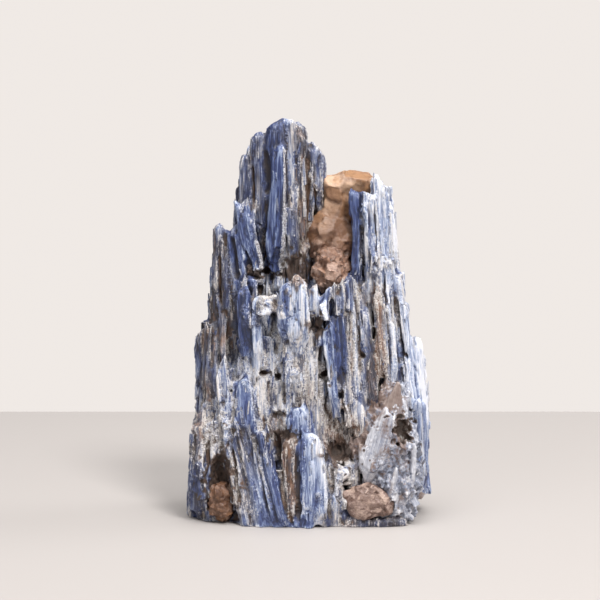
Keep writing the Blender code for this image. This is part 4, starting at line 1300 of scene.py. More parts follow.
def quartz_material(name, main, other, colours):
    """Iron-stained quartz: glassy blocks and a mosaic of grains, rusty and brown in its cracks."""
    material, nodes, shader = principled(name)
    grain = nodes.attribute("grain")["Vector"]
    lightness, granular, crease, rust = nodes.channels("facet")
    over, total, times = nodes.over, nodes.total, nodes.times

    cloud = nodes.noise(grain, 0.22, 6.0, 0.65)
    crack = nodes.noise(nodes.vector("MULTIPLY", grain, (0.40, 0.40, 0.75)), 1.0, 6.0, 0.7)
    specks = nodes.group(speckle_group(), Grain=grain, Size=0.9)["Specks"]
    warped = nodes.vector("ADD", grain, times(crack, 2.4))
    mosaic = nodes.group(speckle_group(), Grain=warped, Size=1.7)["Shade"]
    lit = total(lightness, times(nodes.math("SUBTRACT", mosaic, 0.5), total(0.15, granular)))
    blend = total(times(over(cloud, 0.36, 3.6), 0.3), times(granular, 0.7))
    base = nodes.mix(blend, (*main, 1), (*other, 1))
    light = over(total(times(cloud, 1.6), lit), 1.25, 2.0)
    clear = nodes.mix(granular, (*colours.glass, 1), (*colours.blush, 1))
    base = nodes.mix(times(light, 0.50), base, clear)
    # Rust, and on the pocket lump painted shade, darken the quartz towards rust brown.
    base = nodes.mix(times(rust, 0.85), base, (*colours.crust, 1))
    dim = over(lit, 0.40, -2.2)
    cracked = over(crack, 0.48, -7.0)
    dark = total(times(cracked, 0.5), times(dim, 0.6), times(crease, 0.7))
    dark = times(times(dark, total(0.75, times(granular, 0.25))), 0.86, clamp=True)
    nodes.put(shader, "Base Color", nodes.mix(dark, base, (*colours.crack, 1)))

    nodes.put(shader, "Roughness", total(0.28, times(crack, 0.4)))
    height = total(times(total(specks, mosaic), granular), times(crack, 1.3))
    nodes.put(shader, "Normal", nodes.bump(height, 0.7, 0.4 * MM))
    shader.inputs["IOR"].default_value = 1.55
    return material


def mica_material(name, colours):
    """Pearly flakes, from white to slate, with brown stain and painted shade between them."""
    material, nodes, shader = principled(name)
    grain = nodes.attribute("grain")["Vector"]
    tone, stain, _, crease = nodes.channels("tint")
    broad, fine, blotch = nodes.group(streak_group(), Grain=grain)
    base = nodes.ramp(
        nodes.total(tone, nodes.offset(broad, 1.2), nodes.offset(fine, 0.9)),
        (0.05, colours.slate),
        (0.32, colours.steel),
        (0.62, colours.mica),
        (0.98, colours.pearl),
    )
    stained = nodes.over(nodes.total(stain, blotch), 0.62, 3.0)
    base = nodes.mix(nodes.times(stained, 0.8), base, (*colours.brown, 1))
    # Painted shade in the valleys, mixed with dark dirt.
    base = nodes.mix(nodes.times(crease, 1.4, clamp=True), base, (*colours.dirt_and_shade, 1))
    nodes.put(shader, "Base Color", base)
    nodes.put(shader, "Roughness", nodes.total(0.24, nodes.times(fine, 0.3)))
    nodes.put(shader, "Normal", nodes.bump(fine, 0.5, 0.3 * MM))
    shader.inputs["IOR"].default_value = 1.58
    return material


# ---- Skins and lumps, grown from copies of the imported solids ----


def packed_mesh(node):
    """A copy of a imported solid's mesh, where it stands in the cluster."""
    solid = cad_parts[node]
    mesh = solid.data.copy()
    mesh.transform(solid.matrix_world)
    return mesh


def surface_of(mesh):
    """A tree of a mesh's faces, for finding where a ray lands."""
    points = [vertex.co for vertex in mesh.vertices]
    return BVHTree.FromPolygons(points, [tuple(face.vertices) for face in mesh.polygons])


def modified(mesh, kind, **values):
    """The mesh that a modifier makes of a mesh."""
    holder = bpy.data.objects.new("holder", mesh)
    bpy.context.scene.collection.objects.link(holder)
    modifier = holder.modifiers.new("modifier", kind)
    for key, value in values.items():
        setattr(modifier, key, value)
    graph = bpy.context.evaluated_depsgraph_get()
    result = bpy.data.meshes.new_from_object(holder.evaluated_get(graph))
    bpy.data.objects.remove(holder)
    return result


def mesh_arrays(mesh):
    """The points of a mesh, in millimetres, and their normals."""
    points = np.empty(len(mesh.vertices) * 3)
    mesh.vertices.foreach_get("co", points)
    normals = np.empty(len(mesh.vertices) * 3)
    mesh.vertices.foreach_get("normal", normals)
    return points.reshape(-1, 3) / MM, normals.reshape(-1, 3)


def move_points(mesh, points):
    """Moves a mesh's points to these places, in millimetres, and never below the base."""
    points[:, 2] = np.maximum(points[:, 2], 0.0)
    mesh.vertices.foreach_set("co", (points * MM).ravel())
    mesh.update()


def point_tree(points):
    """A tree for finding the nearest of these points."""
    tree = KDTree(len(points))
    for index, point in enumerate(points.tolist()):
        tree.insert(point, index)
    tree.balance()
    return tree


class Cells:
    """Random cells, about one unit wide, in a box round some points, each with its own values."""

    def __init__(self, points, seed, margin=1.0):
        low, high = points.min(axis=0) - margin, points.max(axis=0) + margin
        rng = np.random.default_rng(seed)
        total = int(np.prod(high - low)) + 1
        self.seeds = rng.uniform(low, high, (total, 3))
        self.values = rng.random((total, 6))
        self.tree = point_tree(self.seeds)

    def find(self, points):
        """The nearest cell of each point, the way to its middle, and how near its border is."""
        nearest = np.empty(len(points), int)
        border = np.empty(len(points))
        for row, point in enumerate(points.tolist()):
            first, second = self.tree.find_n(point, 2)
            nearest[row] = first[1]
            border[row] = second[2] - first[2]
        return nearest, points - self.seeds[nearest], border

    def tilted(self, points):
        """A flat facet in each cell, tilted and stepped at random, between about -1 and 1."""
        nearest, offset, border = self.find(points)
        slope = self.values[nearest, :3] * 2 - 1
        height = (offset * slope).sum(axis=1) + self.values[nearest, 3] * 2 - 1
        return height, border, self.values[nearest, 4]


CONVERGING = 300  # how far above the base the blades of the cluster would meet


def upright(points):
    """Points with the cluster's taper undone, so that blade lines stand straight."""
    spread = 1 - points[:, 2] / CONVERGING
    return np.stack((points[:, 0] / spread, points[:, 1] / spread, points[:, 2]), axis=1)


def largest_part(mesh):
    """The mesh without the bits that don't hang together with its largest part."""
    grown = bmesh.new()
    grown.from_mesh(mesh)
    parts = []
    for start in grown.verts:
        if start.tag:
            continue
        start.tag = True
        part = [start]
        for vertex in part:
            for edge in vertex.link_edges:
                other = edge.other_vert(vertex)
                if not other.tag:
                    other.tag = True
                    part.append(other)
        parts.append(part)
    parts.sort(key=len)
    loose = [vertex for part in parts[:-1] for vertex in part]
    bmesh.ops.delete(grown, geom=loose, context="VERTS")
    grown.to_mesh(mesh)
    grown.free()
    return mesh


def skin_round(node, batch, voxel):
    """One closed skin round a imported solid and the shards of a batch."""
    grown = bmesh.new()
    grown.from_mesh(packed_mesh(node))
    points = np.concatenate(batch.points)
    points[:, 2] = np.maximum(points[:, 2], 0.0)
    grown.from_mesh(mesh_of("shards", points, np.concatenate(batch.faces)))
    joined = bpy.data.meshes.new("joined")
    grown.to_mesh(joined)
    grown.free()
    return largest_part(modified(joined, "REMESH", mode="VOXEL", voxel_size=voxel))


class Owners:
    """Which shard of a batch lies nearest to a point, and that shard's looks and grain there."""

    def __init__(self, batch, reach):
        self.reach = reach
        self.own = np.concatenate(batch.own)
        self.foot, self.axes, self.shift, tallies = (np.array(rows) for rows in zip(*batch.frames))
        self.shard = np.repeat(np.arange(len(tallies)), tallies)
        self.tree = point_tree(np.concatenate(batch.points))

    def find(self, points):
        """The nearest shard point of each point, or -1 where none is within reach."""
        nearest = np.empty(len(points), int)
        for row, point in enumerate(points.tolist()):
            found = self.tree.find(point)
            nearest[row] = found[1] if found[2] < self.reach else -1
        return nearest

    def looks(self, nearest):
        """The looks of those shard points; zeros where there is no shard."""
        return np.where((nearest >= 0)[:, None], self.own[nearest], 0.0)

    def grain(self, points, nearest):
        """Each point across, into and along its shard; upright points where there is none."""
        shard = self.shard[np.maximum(nearest, 0)]
        local = np.einsum("nij,nj->ni", self.axes[shard], points - self.foot[shard])
        return np.where((nearest >= 0)[:, None], local + self.shift[shard], upright(points))


class Links:
    """Which points of a mesh are joined, for smoothing values over it."""

    def __init__(self, mesh):
        ends = np.empty(len(mesh.edges) * 2, int)
        mesh.edges.foreach_get("vertices", ends)
        self.first, self.second = ends.reshape(-1, 2).T
        self.total = len(mesh.vertices)
        self.tally = np.bincount(ends, minlength=self.total)[:, None]

    def smoothed(self, values, rounds, strength=0.6):
        """Values moved towards the mean of their neighbours, that many times."""
        for _ in range(rounds):
            mean = np.empty_like(values)
            for column in range(values.shape[1]):
                near = np.bincount(self.first, values[self.second, column], self.total)
                mean[:, column] = near + np.bincount(self.second, values[self.first, column], self.total)
            values = values + (mean / self.tally - values) * strength
        return values

    def relief(self, points, normals, rounds):
        """How far each point stands out from the skin round it, smoothed that many times."""
        return ((points - self.smoothed(points, rounds)) * normals).sum(axis=1)


BLOCK = np.array((3.8, 3.8, 24.0))  # the size of the weathered skin's large facets
STRIP = np.array((1.9, 1.9, 10.0))  # and of the small ones on them
PUSH_LIMITS = (-2.2, 0.7)  # how far in and out the weathering moves the skin
PINHOLE_DEPTH = 2.8
GAP_DEPTH = 1.8


def weathered(points, normals, grain, own):
    """How far the skin is pushed out at each point, and the looks that its facets add."""
    straight = upright(roughen(points, 0.9, 7.0))
    blocks, block_edge, block_tone = Cells(straight / BLOCK, 11).tilted(straight / BLOCK)
    strips, _, strip_tone = Cells(straight / STRIP, 12).tilted(straight / STRIP)
    ribs = NOISES[0](grain * np.array((0.95, 0.95, 0.05)))
    swell = NOISES[1](points / np.array((5.0, 5.0, 11.0)))
    crumbs = NOISES[2](points / 1.1) + 0.5 * NOISES[3](points / 0.6)
    frost = np.clip(place_tints(points)[:, 2] + own[:, 2] - 0.15, 0, 1)
    kept = 1 - 0.55 * own[:, 3]
    lines = NOISES[3](grain * np.array((0.45, 0.45, 0.03)))
    push = kept * (0.42 * blocks + 0.26 * strips - 0.1) + 0.24 * ribs + 0.30 * lines + 0.34 * swell
    push += 0.34 * frost**2 * crumbs * kept - 0.1
    gaps = smooth_step(-0.3, 0.5, NOISES[1](points / np.array((7.0, 7.0, 16.0)) + 5.0))
    push -= 0.9 * kept * gaps * (1 - smooth_step(0.0, 0.2, block_edge))
    push = np.clip(push, *PUSH_LIMITS)
    for hole in PINHOLES:
        push -= PINHOLE_DEPTH * (1 - smooth_step(0.35, 1.15, hole_reach(points, hole, 0.5)))
    push -= GAP_DEPTH * gap_depth(points)
    push += 0.55 * crumbs * cave_shade(points)[0]
    upward = np.clip(normals[:, 2], 0, 1)
    push *= smooth_step(0.2, 1.2, points[:, 2]) * (1 - 0.7 * upward)
    looks = np.zeros((len(points), 5))
    looks[:, 0] = kept * (0.34 * (block_tone - 0.5) + 0.36 * (strip_tone - 0.5))
    looks[:, 1] = kept * 0.30 * (block_tone - 0.4)
    looks[:, 2] = kept * (0.24 * (strips > 0.5) - 0.08)
    return push, looks


def nearest_rows(sources, points):
    """For each point, which of the source points lies nearest."""
    tree = point_tree(sources)
    return np.array([tree.find(point)[1] for point in points.tolist()])


def thinned(mesh, most):
    """The mesh cut down to about that many triangles."""
    ratio = min(1.0, most / (len(mesh.polygons) * 2))
    return modified(mesh, "DECIMATE", ratio=ratio, use_collapse_triangulate=True)


def add_corner_grain(mesh, points, owners):
    """Each face takes its grain from the blade or flake that lies nearest to it."""
    sides = len(mesh.polygons[0].vertices)
    corner = np.empty(len(mesh.loops), int)
    mesh.loops.foreach_get("vertex_index", corner)
    middle = np.empty(len(mesh.polygons) * 3)
    mesh.polygons.foreach_get("center", middle)
    nearest = np.repeat(owners.find(middle.reshape(-1, 3) / MM), sides)
    add_vectors(mesh, "grain", "CORNER", owners.grain(points[corner], nearest))


PEAK_SHOULDER = 148  # the right of the peak is worn down from this height up
PEAK_TOP = 158.4  # and what is above this one is flattened


def worn_peak(points):
    """The right of the peak, worn down so that the peak ends in one round dome."""
    above = np.clip(points[:, 2] - PEAK_SHOULDER, 0, None)
    down = 0.36 * smooth_step(-5.6, -1.4, points[:, 0]) * above
    down = down + 0.6 * np.clip(points[:, 2] - down - PEAK_TOP, 0, None)
    return points - down[:, None] * (0.0, 0.0, 1.0)


def build_body(settings):
    """The fused kyanite: every blade, grown with its neighbours into one weathered skin."""
    sizes = settings.minerals
    batch = all_blades(settings)
    owners = Owners(batch, reach=2.2)
    mesh = skin_round("kyanite_blades", batch, sizes.body_voxel)
    links = Links(mesh)
    move_points(mesh, links.smoothed(mesh_arrays(mesh)[0], 3))
    points, normals = mesh_arrays(mesh)
    nearest = owners.find(points)
    own = owners.looks(nearest)
    push, looks = weathered(points, normals, owners.grain(points, nearest), own)
    own = links.smoothed(own + looks, 1)
    points = points + normals * push[:, None]
    move_points(mesh, points)
    ridge = links.relief(points, normals, 4)
    valley = -links.relief(points, normals, 18)
    crust = np.clip(place_tints(points)[:, 2] - 0.2, 0, 1)
    # Painted shade and light: tone darker in valleys and lighter on ridges; frost whiter on ridges,
    # partly worn edges and partly a painted highlight; painted shade in the valleys. The brown stain and
    # white crust in valleys are dirt and grains.
    own[:, 0] -= np.clip(valley * 0.5, -0.25, 0.4)
    own[:, 1] += np.clip(valley * 0.9 - 0.1, 0, 0.5)
    own[:, 2] += np.clip(ridge * 2.0 - 0.12, -0.1, 0.35) + crust * np.clip(valley * 1.2, 0, 0.5)
    own[:, 4] = np.clip(valley * 1.7 - 0.28, 0, 0.9)

    mesh = thinned(mesh, sizes.body_faces)
    sources = points
    points, _ = mesh_arrays(mesh)
    move_points(mesh, points)
    own = own[nearest_rows(sources, points)]
    add_corner_grain(mesh, points, owners)
    add_tint(mesh, points, own)
    move_points(mesh, worn_peak(points))
    material = kyanite_material("Fused Kyanite", settings.colours, darkness=0.08)
    finish_piece("kyanite_body", mesh, "kyanite_blades", "kyanite", material, sharp=50)


def faceted(points, normals, cell, tilt, rng):
    """Points drawn onto flat faces: one for each cell, through its middle."""
    total = cell.max() + 1
    tally = np.maximum(np.bincount(cell, minlength=total), 1)[:, None]
    middle = np.stack([np.bincount(cell, row, total) for row in points.T], axis=1) / tally
    facing = np.stack([np.bincount(cell, row, total) for row in normals.T], axis=1) / tally
    facing += rng.normal(0, tilt, facing.shape)
    facing /= np.linalg.norm(facing, axis=1)[:, None]
    away = ((middle[cell] - points) * facing[cell]).sum(axis=1)
    return points + facing[cell] * np.clip(away, -2.4, 1.2)[:, None]


# How rusty the vein is at these heights.
RUST_HEIGHTS = (90, 97, 105, 111, 115, 121, 128, 134)
RUST_AMOUNTS = (0.0, 0.05, 0.40, 0.68, 1.05, 0.84, 0.36, 0.05)


def rust_and_shade(node, points):
    """How far a lump is darkened towards rust brown, from 0 to 1: rust on the vein, and painted shade
    deep in the arch on the pocket lump.
    """
    x, _, z = points.T
    wave = 2.5 * NOISES[2](points / 3.0)
    if node == "quartz_vein":
        pale_side = 0.3 * (1 - smooth_step(4.5, 8.5, x)) * smooth_step(112, 118, z)
        return np.interp(z + wave, RUST_HEIGHTS, RUST_AMOUNTS) - pale_side
    if node == "quartz_pocket_lump":
        # The pocket lump is darker towards its top left, deeper in the arch: painted shade, with rust.
        return smooth_step(0, 8, z + wave - (x + 33))
    return np.zeros(len(points))


BLOCK_MIDDLE = np.array((11.6, 125.5))  # x and z of the block that the top of the vein fills
BLOCK_HALF = np.array((7.6, 11.6))


def squared(points):
    """The rounded top of the vein, drawn out towards the square corners of a block."""
    local = (points[:, [0, 2]] - BLOCK_MIDDLE) / BLOCK_HALF
    longest = np.maximum(np.abs(local).max(axis=1), 0.2)
    swell = (np.linalg.norm(local, axis=1) / longest) ** 0.6 - 1
    swell = swell * smooth_step(0.0, 0.45, local[:, 1]) * smooth_step(0.5, -0.1, local[:, 0])
    moved = points.copy()
    moved[:, [0, 2]] += local * BLOCK_HALF * swell[:, None]
    return moved


CHIP = 0.42  # how wide a small facet is, as a share of a large one
SWELL = 0.5  # how far the two lumps in the foot stand out from their solids


def fractured(node, voxel, step, pitch, seed):
    """A lump broken into flat, tilted facets of about that pitch, with small chips."""
    mesh = modified(packed_mesh(node), "REMESH", mode="VOXEL", voxel_size=voxel)
    points, normals = mesh_arrays(mesh)
    rng = np.random.default_rng(seed)
    small = roughen(points, 0.3, 2.0) / (pitch * CHIP)
    large = small * CHIP
    cells = Cells(small, seed)
    cell, _, edge = cells.find(small)
    tone = cells.values[cell, 4]
    roseate = 1 - smooth_step(106, 118, points[:, 2] + 4 * NOISES[1](points / 4.0))
    if node == "quartz_foot_lump":
        facets = Cells(large, seed + 50, 1 + CHIP).tilted(large)[0]
        broken = points + normals * (0.9 * step * facets)[:, None]
        roseate = 0.6 + 0.4 * cells.values[cell, 5]
    else:
        broken = faceted(points, normals, cell, 0.30, rng)
        broken = broken + normals * (1.3 * (cells.values[cell, 3] - 0.5))[:, None]
    if node == "quartz_vein":
        glassy = smooth_step(106, 116, points[:, 2] + 5 * NOISES[0](points / 5.0))
        blocks = Cells(large, seed + 50)
        block, _, block_edge = blocks.find(large)
        smooth = faceted(points, normals, block, 0.12, rng)
        broken = broken + (smooth - broken) * glassy[:, None]
        edge = edge + (block_edge - edge) * glassy
        tone = tone + (blocks.values[block, 4] - tone) * glassy
        # The bottom of the vein is painted lighter: a painted light that lifts the shade on its
        # underside.
        tone = tone + 0.35 * (1 - smooth_step(97, 104, points[:, 2]))
    chips = step * 0.16 * (NOISES[2](points * 0.9) + 0.6 * NOISES[3](points * 1.7))
    if node != "quartz_vein":
        chips += SWELL
    side = smooth_step(0.1, 0.8, points[:, 2])[:, None]
    moved = points + (broken - points + normals * chips[:, None]) * side
    links = Links(mesh)
    if node == "quartz_vein":
        moved = squared(moved)
        moved = moved + (links.smoothed(moved, 4) - moved) * (0.8 * glassy)[:, None]
    move_points(mesh, links.smoothed(moved, 1, 0.4))
    add_vectors(mesh, "grain", "POINT", points + seed * 13.7)
    looks = np.stack((tone, roseate, 1 - edge / 0.14, rust_and_shade(node, points)), axis=1)
    add_colours(mesh, "facet", np.clip(looks, 0, 1))
    return mesh


def build_quartz(settings):
    """The quartz vein and the two lumps, each with its own pitch, height of steps and colours."""
    sizes, colours = settings.minerals, settings.colours
    step = sizes.quartz_step / MM
    stained = quartz_material("Stained Quartz", colours.orange, colours.rose, colours)
    pink = quartz_material("Pink Quartz", colours.foot, colours.foot_grain, colours)
    rusty = quartz_material("Rusty Quartz", colours.pocket, colours.orange, colours)
    parts = (
        ("vein_quartz", "quartz_vein", "stained_quartz", stained, 7.0, step * 1.5),
        ("foot_quartz", "quartz_foot_lump", "pink_quartz", pink, 7.5, step * 0.5),
        ("pocket_quartz", "quartz_pocket_lump", "rusty_quartz", rusty, 4.5, step * 0.7),
    )
    for seed, (name, node, slot, material, pitch, rise) in enumerate(parts, start=1):
        mesh = fractured(node, sizes.quartz_voxel, rise, pitch, seed)
        finish_piece(name, mesh, node, slot, material, sharp=30)


def mica_flakes(sizes):
    """Flakes that lie on the mica and fan upwards, and the large plates."""
    rng = np.random.default_rng(sizes.seed)
    tree = surface_of(packed_mesh("mica_mass"))
    batch = Batch()
    low, high = (np.array(corner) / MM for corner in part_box("mica_mass"))
    middle = (low + high) / 2
    for _ in range(sizes.flakes):
        aim = np.array((rng.uniform(low[0], high[0]), middle[1], rng.uniform(low[2], high[2])))
        turn = rng.normal(FRONT, 48)
        out = heading_vector(turn) + np.array((0, 0, rng.uniform(-0.1, 0.6)))
        start = aim + unit(out) * 60
        hit, normal, _, _ = tree.ray_cast(Vector(start * MM), Vector(-unit(out)))
        if hit is None:
            continue
        spot, normal = np.array(hit) / MM, np.array(normal)
        if inside_any(spot, [MICA_POCKET], 0.0):
            continue
        rise = unit(np.array((rng.normal(-0.15, 0.5), rng.normal(0, 0.35), 1.0)))
        long = sizes.flake / MM * rng.uniform(0.25, 1.0) ** 1.3 + 0.8
        facing = unit(normal + rng.normal(0, 0.35, 3))
        foot = spot - rise * long * 0.5 + normal * rng.uniform(-0.3, 0.5)
        flake = Shard(
            foot=foot,
            tip=foot + rise * long,
            width=long * rng.uniform(0.3, 0.6),
            thick=rng.uniform(0.5, 1.0),
            facing=facing,
            slant=rng.uniform(-0.3, 0.3) * long * 0.4,
            ridge=0.1,
            jag=0.2,
            dome=rng.uniform(0.3, 1.0),
            tone=np.clip(rng.normal(0.38, 0.18), 0, 1),
            stain=rng.uniform(-0.2, 0.3),
            strength=1.0,
        )
        batch.add(flake, rng, 0.9, 1.6)
    for plate in PLATES:
        foot, tip = np.array(plate.foot, float), np.array(plate.tip, float)
        start = Vector(((foot[0] + tip[0]) / 2, FRONT_Y, (foot[2] + tip[2]) / 2))
        hit = tree.ray_cast(start * MM, INWARD)[0]
        depth = np.array((0.0, hit.y / MM - 3.0, 0.0))
        leaf = Shard(
            foot=foot + depth,
            tip=tip + depth,
            width=plate.width,
            thick=2.6,
            facing=heading_vector(plate.heading),
            dome=plate.dome,
            heel=1.0,
            taper=0.3,
            ridge=0.25,
            jag=0.15,
            tone=plate.tone,
            stain=plate.stain,
            strength=1.0,
        )
        batch.add(leaf, rng, 0.6, 1.4)
    return batch


def build_mica(settings):
    """The flaky mica: flakes and plates, grown together over its solid."""
    sizes = settings.minerals
    batch = mica_flakes(sizes)
    owners = Owners(batch, reach=1.6)
    mesh = skin_round("mica_mass", batch, sizes.mica_voxel)
    links = Links(mesh)
    points, normals = mesh_arrays(mesh)
    points = links.smoothed(points, 1)
    own = owners.looks(owners.find(points))
    crumbs = NOISES[2](points / 0.9) + 0.6 * NOISES[0](points / np.array((0.7, 0.7, 2.0)))
    dent = 2.4 * (1 - smooth_step(0.3, 1.2, hole_reach(points, MICA_POCKET, 0.5)))
    points = points + normals * (0.16 * crumbs - dent)[:, None]
    move_points(mesh, points)
    ridge = links.relief(points, normals, 4)
    valley = -links.relief(points, normals, 16)
    # Painted light and shade: tone lighter on ridges and darker in small grooves, and painted shade in
    # the valleys; the brown stain in valleys is dirt.
    own[:, 0] += np.clip(ridge * 0.9, -0.2, 0.3) - 0.02
    own[:, 1] += np.clip(valley * 0.4 - 0.05, 0, 0.3) - 0.14
    own[:, 4] = np.clip(valley * 1.3 - 0.3, 0, 0.8)
    own = links.smoothed(own, 1)
    add_corner_grain(mesh, points, owners)
    add_tint(mesh, points, own)
    material = mica_material("Pearly Mica", settings.colours)
    finish_piece("mica_body", mesh, "mica_mass", "mica", material, sharp=50)


# ---- Splinters, laid on the fused kyanite ----


def landings(tree, rng, total, front_share):
    """Where rays land on the cluster: a share of them in its frosted places, the rest all round."""
    weights = np.array([patch.frost**1.5 * patch.reach_x * patch.reach_z for patch in PATCHES])
    weights /= weights.sum()
    for _ in range(total):
        frosted = rng.random() < front_share
        if frosted:
            patch = PATCHES[rng.choice(len(PATCHES), p=weights)]
            x, z = rng.normal((patch.x, patch.z), (patch.reach_x * 0.6, patch.reach_z * 0.6))
            out = unit(np.array((rng.normal(0, 0.4), -1.0, rng.normal(0.1, 0.2))))
            aim = np.array((x, -14.0, max(z, 1.0)))
        else:
            out = unit(heading_vector(rng.uniform(0, 360)) + np.array((0, 0, rng.uniform(-0.1, 0.5))))
            aim = np.array((rng.uniform(-48, 48), rng.uniform(-14, 14), rng.uniform(1, 158)))
        hit, normal, _, _ = tree.ray_cast(Vector((aim + out * 100) * MM), Vector(-out))
        if hit is not None:
            yield np.array(hit) / MM, np.array(normal), frosted


BACK_START = 2.0  # how far out from a splinter's end the ray starts that looks for the surface
BACK_REACH = 3.4  # and how far it goes


def backed(tree, foot, tip, normal):
    """Whether the surface lies close behind both ends of a splinter."""
    for end in (foot, tip):
        start = Vector((end + normal * BACK_START) * MM)
        hit = tree.ray_cast(start, Vector(-normal), BACK_REACH * MM)[0]
        if hit is None:
            return False
    return True


def build_splinters(settings):
    """Upright slivers that lie on the fused kyanite, most of them short and in frosted places."""
    sizes = settings.splinters
    rng = np.random.default_rng(sizes.seed)
    tree = surface_of(bpy.data.objects["kyanite_body"].data)
    longest, widest = sizes.longest / MM, sizes.widest / MM
    batch = Batch()
    for spot, normal, frosted in landings(tree, rng, sizes.splinters, 0.6):
        if inside_any(spot, HOLLOWS + PINHOLES, 0.8):
            continue
        if lead_ground(spot, 0.0) and rng.random() > 0.2:
            continue
        along = unit(np.array((0.0, 0.0, 1.0)) + rng.normal(0, 0.12 if frosted else 0.04, 3))
        if abs(np.dot(normal, along)) > 0.5:
            continue
        long = longest * rng.uniform(0.12, 0.45 if frosted else 1.0) ** 1.2
        foot = spot - along * long * 0.5 + normal * rng.uniform(-0.25, 0.05)
        if foot[2] < 0.5 or not backed(tree, foot, foot + along * long, normal):
            continue
        sliver = Shard(
            foot=foot,
            tip=foot + along * long,
            width=widest * rng.uniform(0.3, 1.0),
            thick=rng.uniform(0.35, 0.9),
            facing=unit(normal + rng.normal(0, 0.15, 3)),
            slant=rng.uniform(-0.4, 0.4),
            ridge=0.12,
            jag=0.25,
            tone=rng.normal(0, 0.12),
            stain=rng.uniform(-0.15, 0.15),
            frost=rng.uniform(-0.2, 0.1),
        )
        batch.add(sliver, rng, 0.55, 3.2)
    points = roughen(np.concatenate(batch.points), 0.08, 2.6)
    points[:, 2] = np.maximum(points[:, 2], 0.0)
    mesh = mesh_of("splinters", points, np.concatenate(batch.faces))
    add_vectors(mesh, "grain", "POINT", np.concatenate(batch.grain))
    add_tint(mesh, points, np.concatenate(batch.own))
    sheet = mesh.uv_layers.new(name="OFBake")
    sheet.data.foreach_set("uv", unrolled(batch).ravel())
    material = kyanite_material("Striated Kyanite", settings.colours, darkness=0.0)
    finish_piece("splinters", mesh, "kyanite_blades", "kyanite", material, sharp=24)


# ---- The stage ----


HALF_WIDE = 1.6  # how far the floor runs to each side, in metres


def aim_at(obj, target):
    obj.rotation_euler = (target - obj.location).to_track_quat("-Z", "Y").to_euler()


def add_softbox(name, turn, rise, away, size, watts, tint):
    """A round soft light: its heading and rise in degrees, its distance and size in metres."""
    middle = Vector((0, 0, 0.08))
    level = Vector(heading_vector(turn)) * math.cos(math.radians(rise))
    lamp = bpy.data.lights.new(name, "AREA")
    lamp.shape = "DISK"
    lamp.size = size
    lamp.energy = watts
    lamp.color = tint
    obj = bpy.data.objects.new(name, lamp)
    obj.location = middle + (level + Vector((0, 0, math.sin(math.radians(rise))))) * away
    aim_at(obj, middle)
    bpy.context.scene.collection.objects.link(obj)


def build_stage(settings):
    """The camera, the pale floor and air, and the four soft lights."""
    stage = settings.stage
    scene = bpy.context.scene
    target = Vector((-stage.aim_x, 0.0, stage.aim_z))
    lens = bpy.data.cameras.new("camera")
    lens.lens = stage.lens
    lens.sensor_width = 36.0
    camera = bpy.data.objects.new("camera", lens)
    back = Vector((0.0, -math.cos(stage.elevation), math.sin(stage.elevation)))
    camera.location = target + back * stage.distance
    aim_at(camera, target)
    scene.collection.objects.link(camera)
    scene.camera = camera

    wide, deep = HALF_WIDE, stage.floor_half_depth
    places = [(-wide, -deep, 0), (wide, -deep, 0), (wide, deep, 0), (-wide, deep, 0)]
    mesh = bpy.data.meshes.new("floor")
    mesh.from_pydata(places, [], [(0, 1, 2, 3)])
    material, _, shader = principled("floor")
    shader.inputs["Base Color"].default_value = (*stage.floor_colour, 1)
    shader.inputs["Roughness"].default_value = 0.55
    mesh.materials.append(material)
    floor = bpy.data.objects.new("floor", mesh)
    scene.collection.objects.link(floor)

    world = bpy.data.worlds.new("studio")
    world.use_nodes = True
    nodes = Nodes(world.node_tree)
    background = world.node_tree.nodes["Background"]
    seen = nodes.add("ShaderNodeLightPath").outputs["Is Camera Ray"]
    dim = nodes.math("MULTIPLY_ADD", seen, 1.0 - stage.air_light, stage.air_light)
    nodes.put(background, "Color", (*stage.wall_colour, 1))
    nodes.put(background, "Strength", dim)
    scene.world = world
    scene.view_settings.view_transform = "Standard"

    add_softbox("key", 296, 46, 2.0, 0.55, stage.key_power, (1.0, 0.98, 0.96))
    add_softbox("fill", 232, 14, 2.0, 1.4, stage.fill_power, (0.95, 0.97, 1.0))
    add_softbox("top", 280, 82, 1.6, 1.3, stage.top_power, (1.0, 0.99, 0.98))
    add_softbox("rim", 10, 30, 1.6, 0.8, stage.rim_power, (1.0, 1.0, 1.0))


# ---- Operators, panel and registration ----


class ClusterSettings(bpy.types.PropertyGroup):
    blades: PointerProperty(type=BladeSettings)
    splinters: PointerProperty(type=SplinterSettings)
    minerals: PointerProperty(type=MineralSettings)
    colours: PointerProperty(type=ColourSettings)
    stage: PointerProperty(type=StageSettings)


class KYANITE_OT_body(bpy.types.Operator):
    """Grow the fused kyanite round the blades that are placed and those that stand in columns"""

    bl_idname = "kyanite.body"
    bl_label = "Kyanite Body"

    def execute(self, context):
        build_body(context.scene.kyanite)
        return {"FINISHED"}


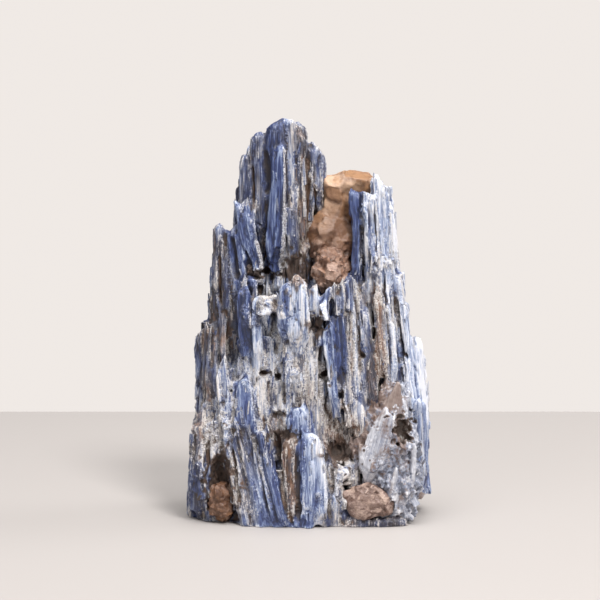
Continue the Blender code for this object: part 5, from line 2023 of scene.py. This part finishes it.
class KYANITE_OT_quartz(bpy.types.Operator):
    """Break the quartz vein and the two quartz lumps out of their solids"""

    bl_idname = "kyanite.quartz"
    bl_label = "Quartz"

    def execute(self, context):
        build_quartz(context.scene.kyanite)
        return {"FINISHED"}


class KYANITE_OT_mica(bpy.types.Operator):
    """Grow the mica round its flakes and plates"""

    bl_idname = "kyanite.mica"
    bl_label = "Mica"

    def execute(self, context):
        build_mica(context.scene.kyanite)
        return {"FINISHED"}


class KYANITE_OT_splinters(bpy.types.Operator):
    """Lay splinters on the fused kyanite, which has to be there already"""

    bl_idname = "kyanite.splinters"
    bl_label = "Splinters"

    def execute(self, context):
        build_splinters(context.scene.kyanite)
        return {"FINISHED"}


class KYANITE_OT_stage(bpy.types.Operator):
    """Set up the floor, the lights and the camera"""

    bl_idname = "kyanite.stage"
    bl_label = "Stage"

    def execute(self, context):
        build_stage(context.scene.kyanite)
        return {"FINISHED"}


class KYANITE_PT_panel(bpy.types.Panel):
    """Buttons for each piece of the cluster"""

    bl_idname = "KYANITE_PT_panel"
    bl_label = "Kyanite Blade Cluster"
    bl_space_type = "VIEW_3D"
    bl_region_type = "UI"
    bl_category = "Kyanite"

    def draw(self, context):
        for operator in OPERATORS:
            self.layout.operator(operator.bl_idname)


OPERATORS = (
    KYANITE_OT_stage,
    KYANITE_OT_body,
    KYANITE_OT_quartz,
    KYANITE_OT_mica,
    KYANITE_OT_splinters,
)
CLASSES = (
    BladeSettings,
    SplinterSettings,
    MineralSettings,
    ColourSettings,
    StageSettings,
    ClusterSettings,
    *OPERATORS,
    KYANITE_PT_panel,
)


def register():
    for cls in CLASSES:
        bpy.utils.register_class(cls)
    bpy.types.Scene.kyanite = PointerProperty(type=ClusterSettings)


def unregister():
    del bpy.types.Scene.kyanite
    for cls in reversed(CLASSES):
        bpy.utils.unregister_class(cls)


def write_sizes():
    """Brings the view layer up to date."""
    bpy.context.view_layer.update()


def main():
    register()
    for operator in OPERATORS:
        getattr(bpy.ops.kyanite, operator.bl_idname.split(".")[1])()
    write_sizes()


if __name__ == "__main__":
    main()
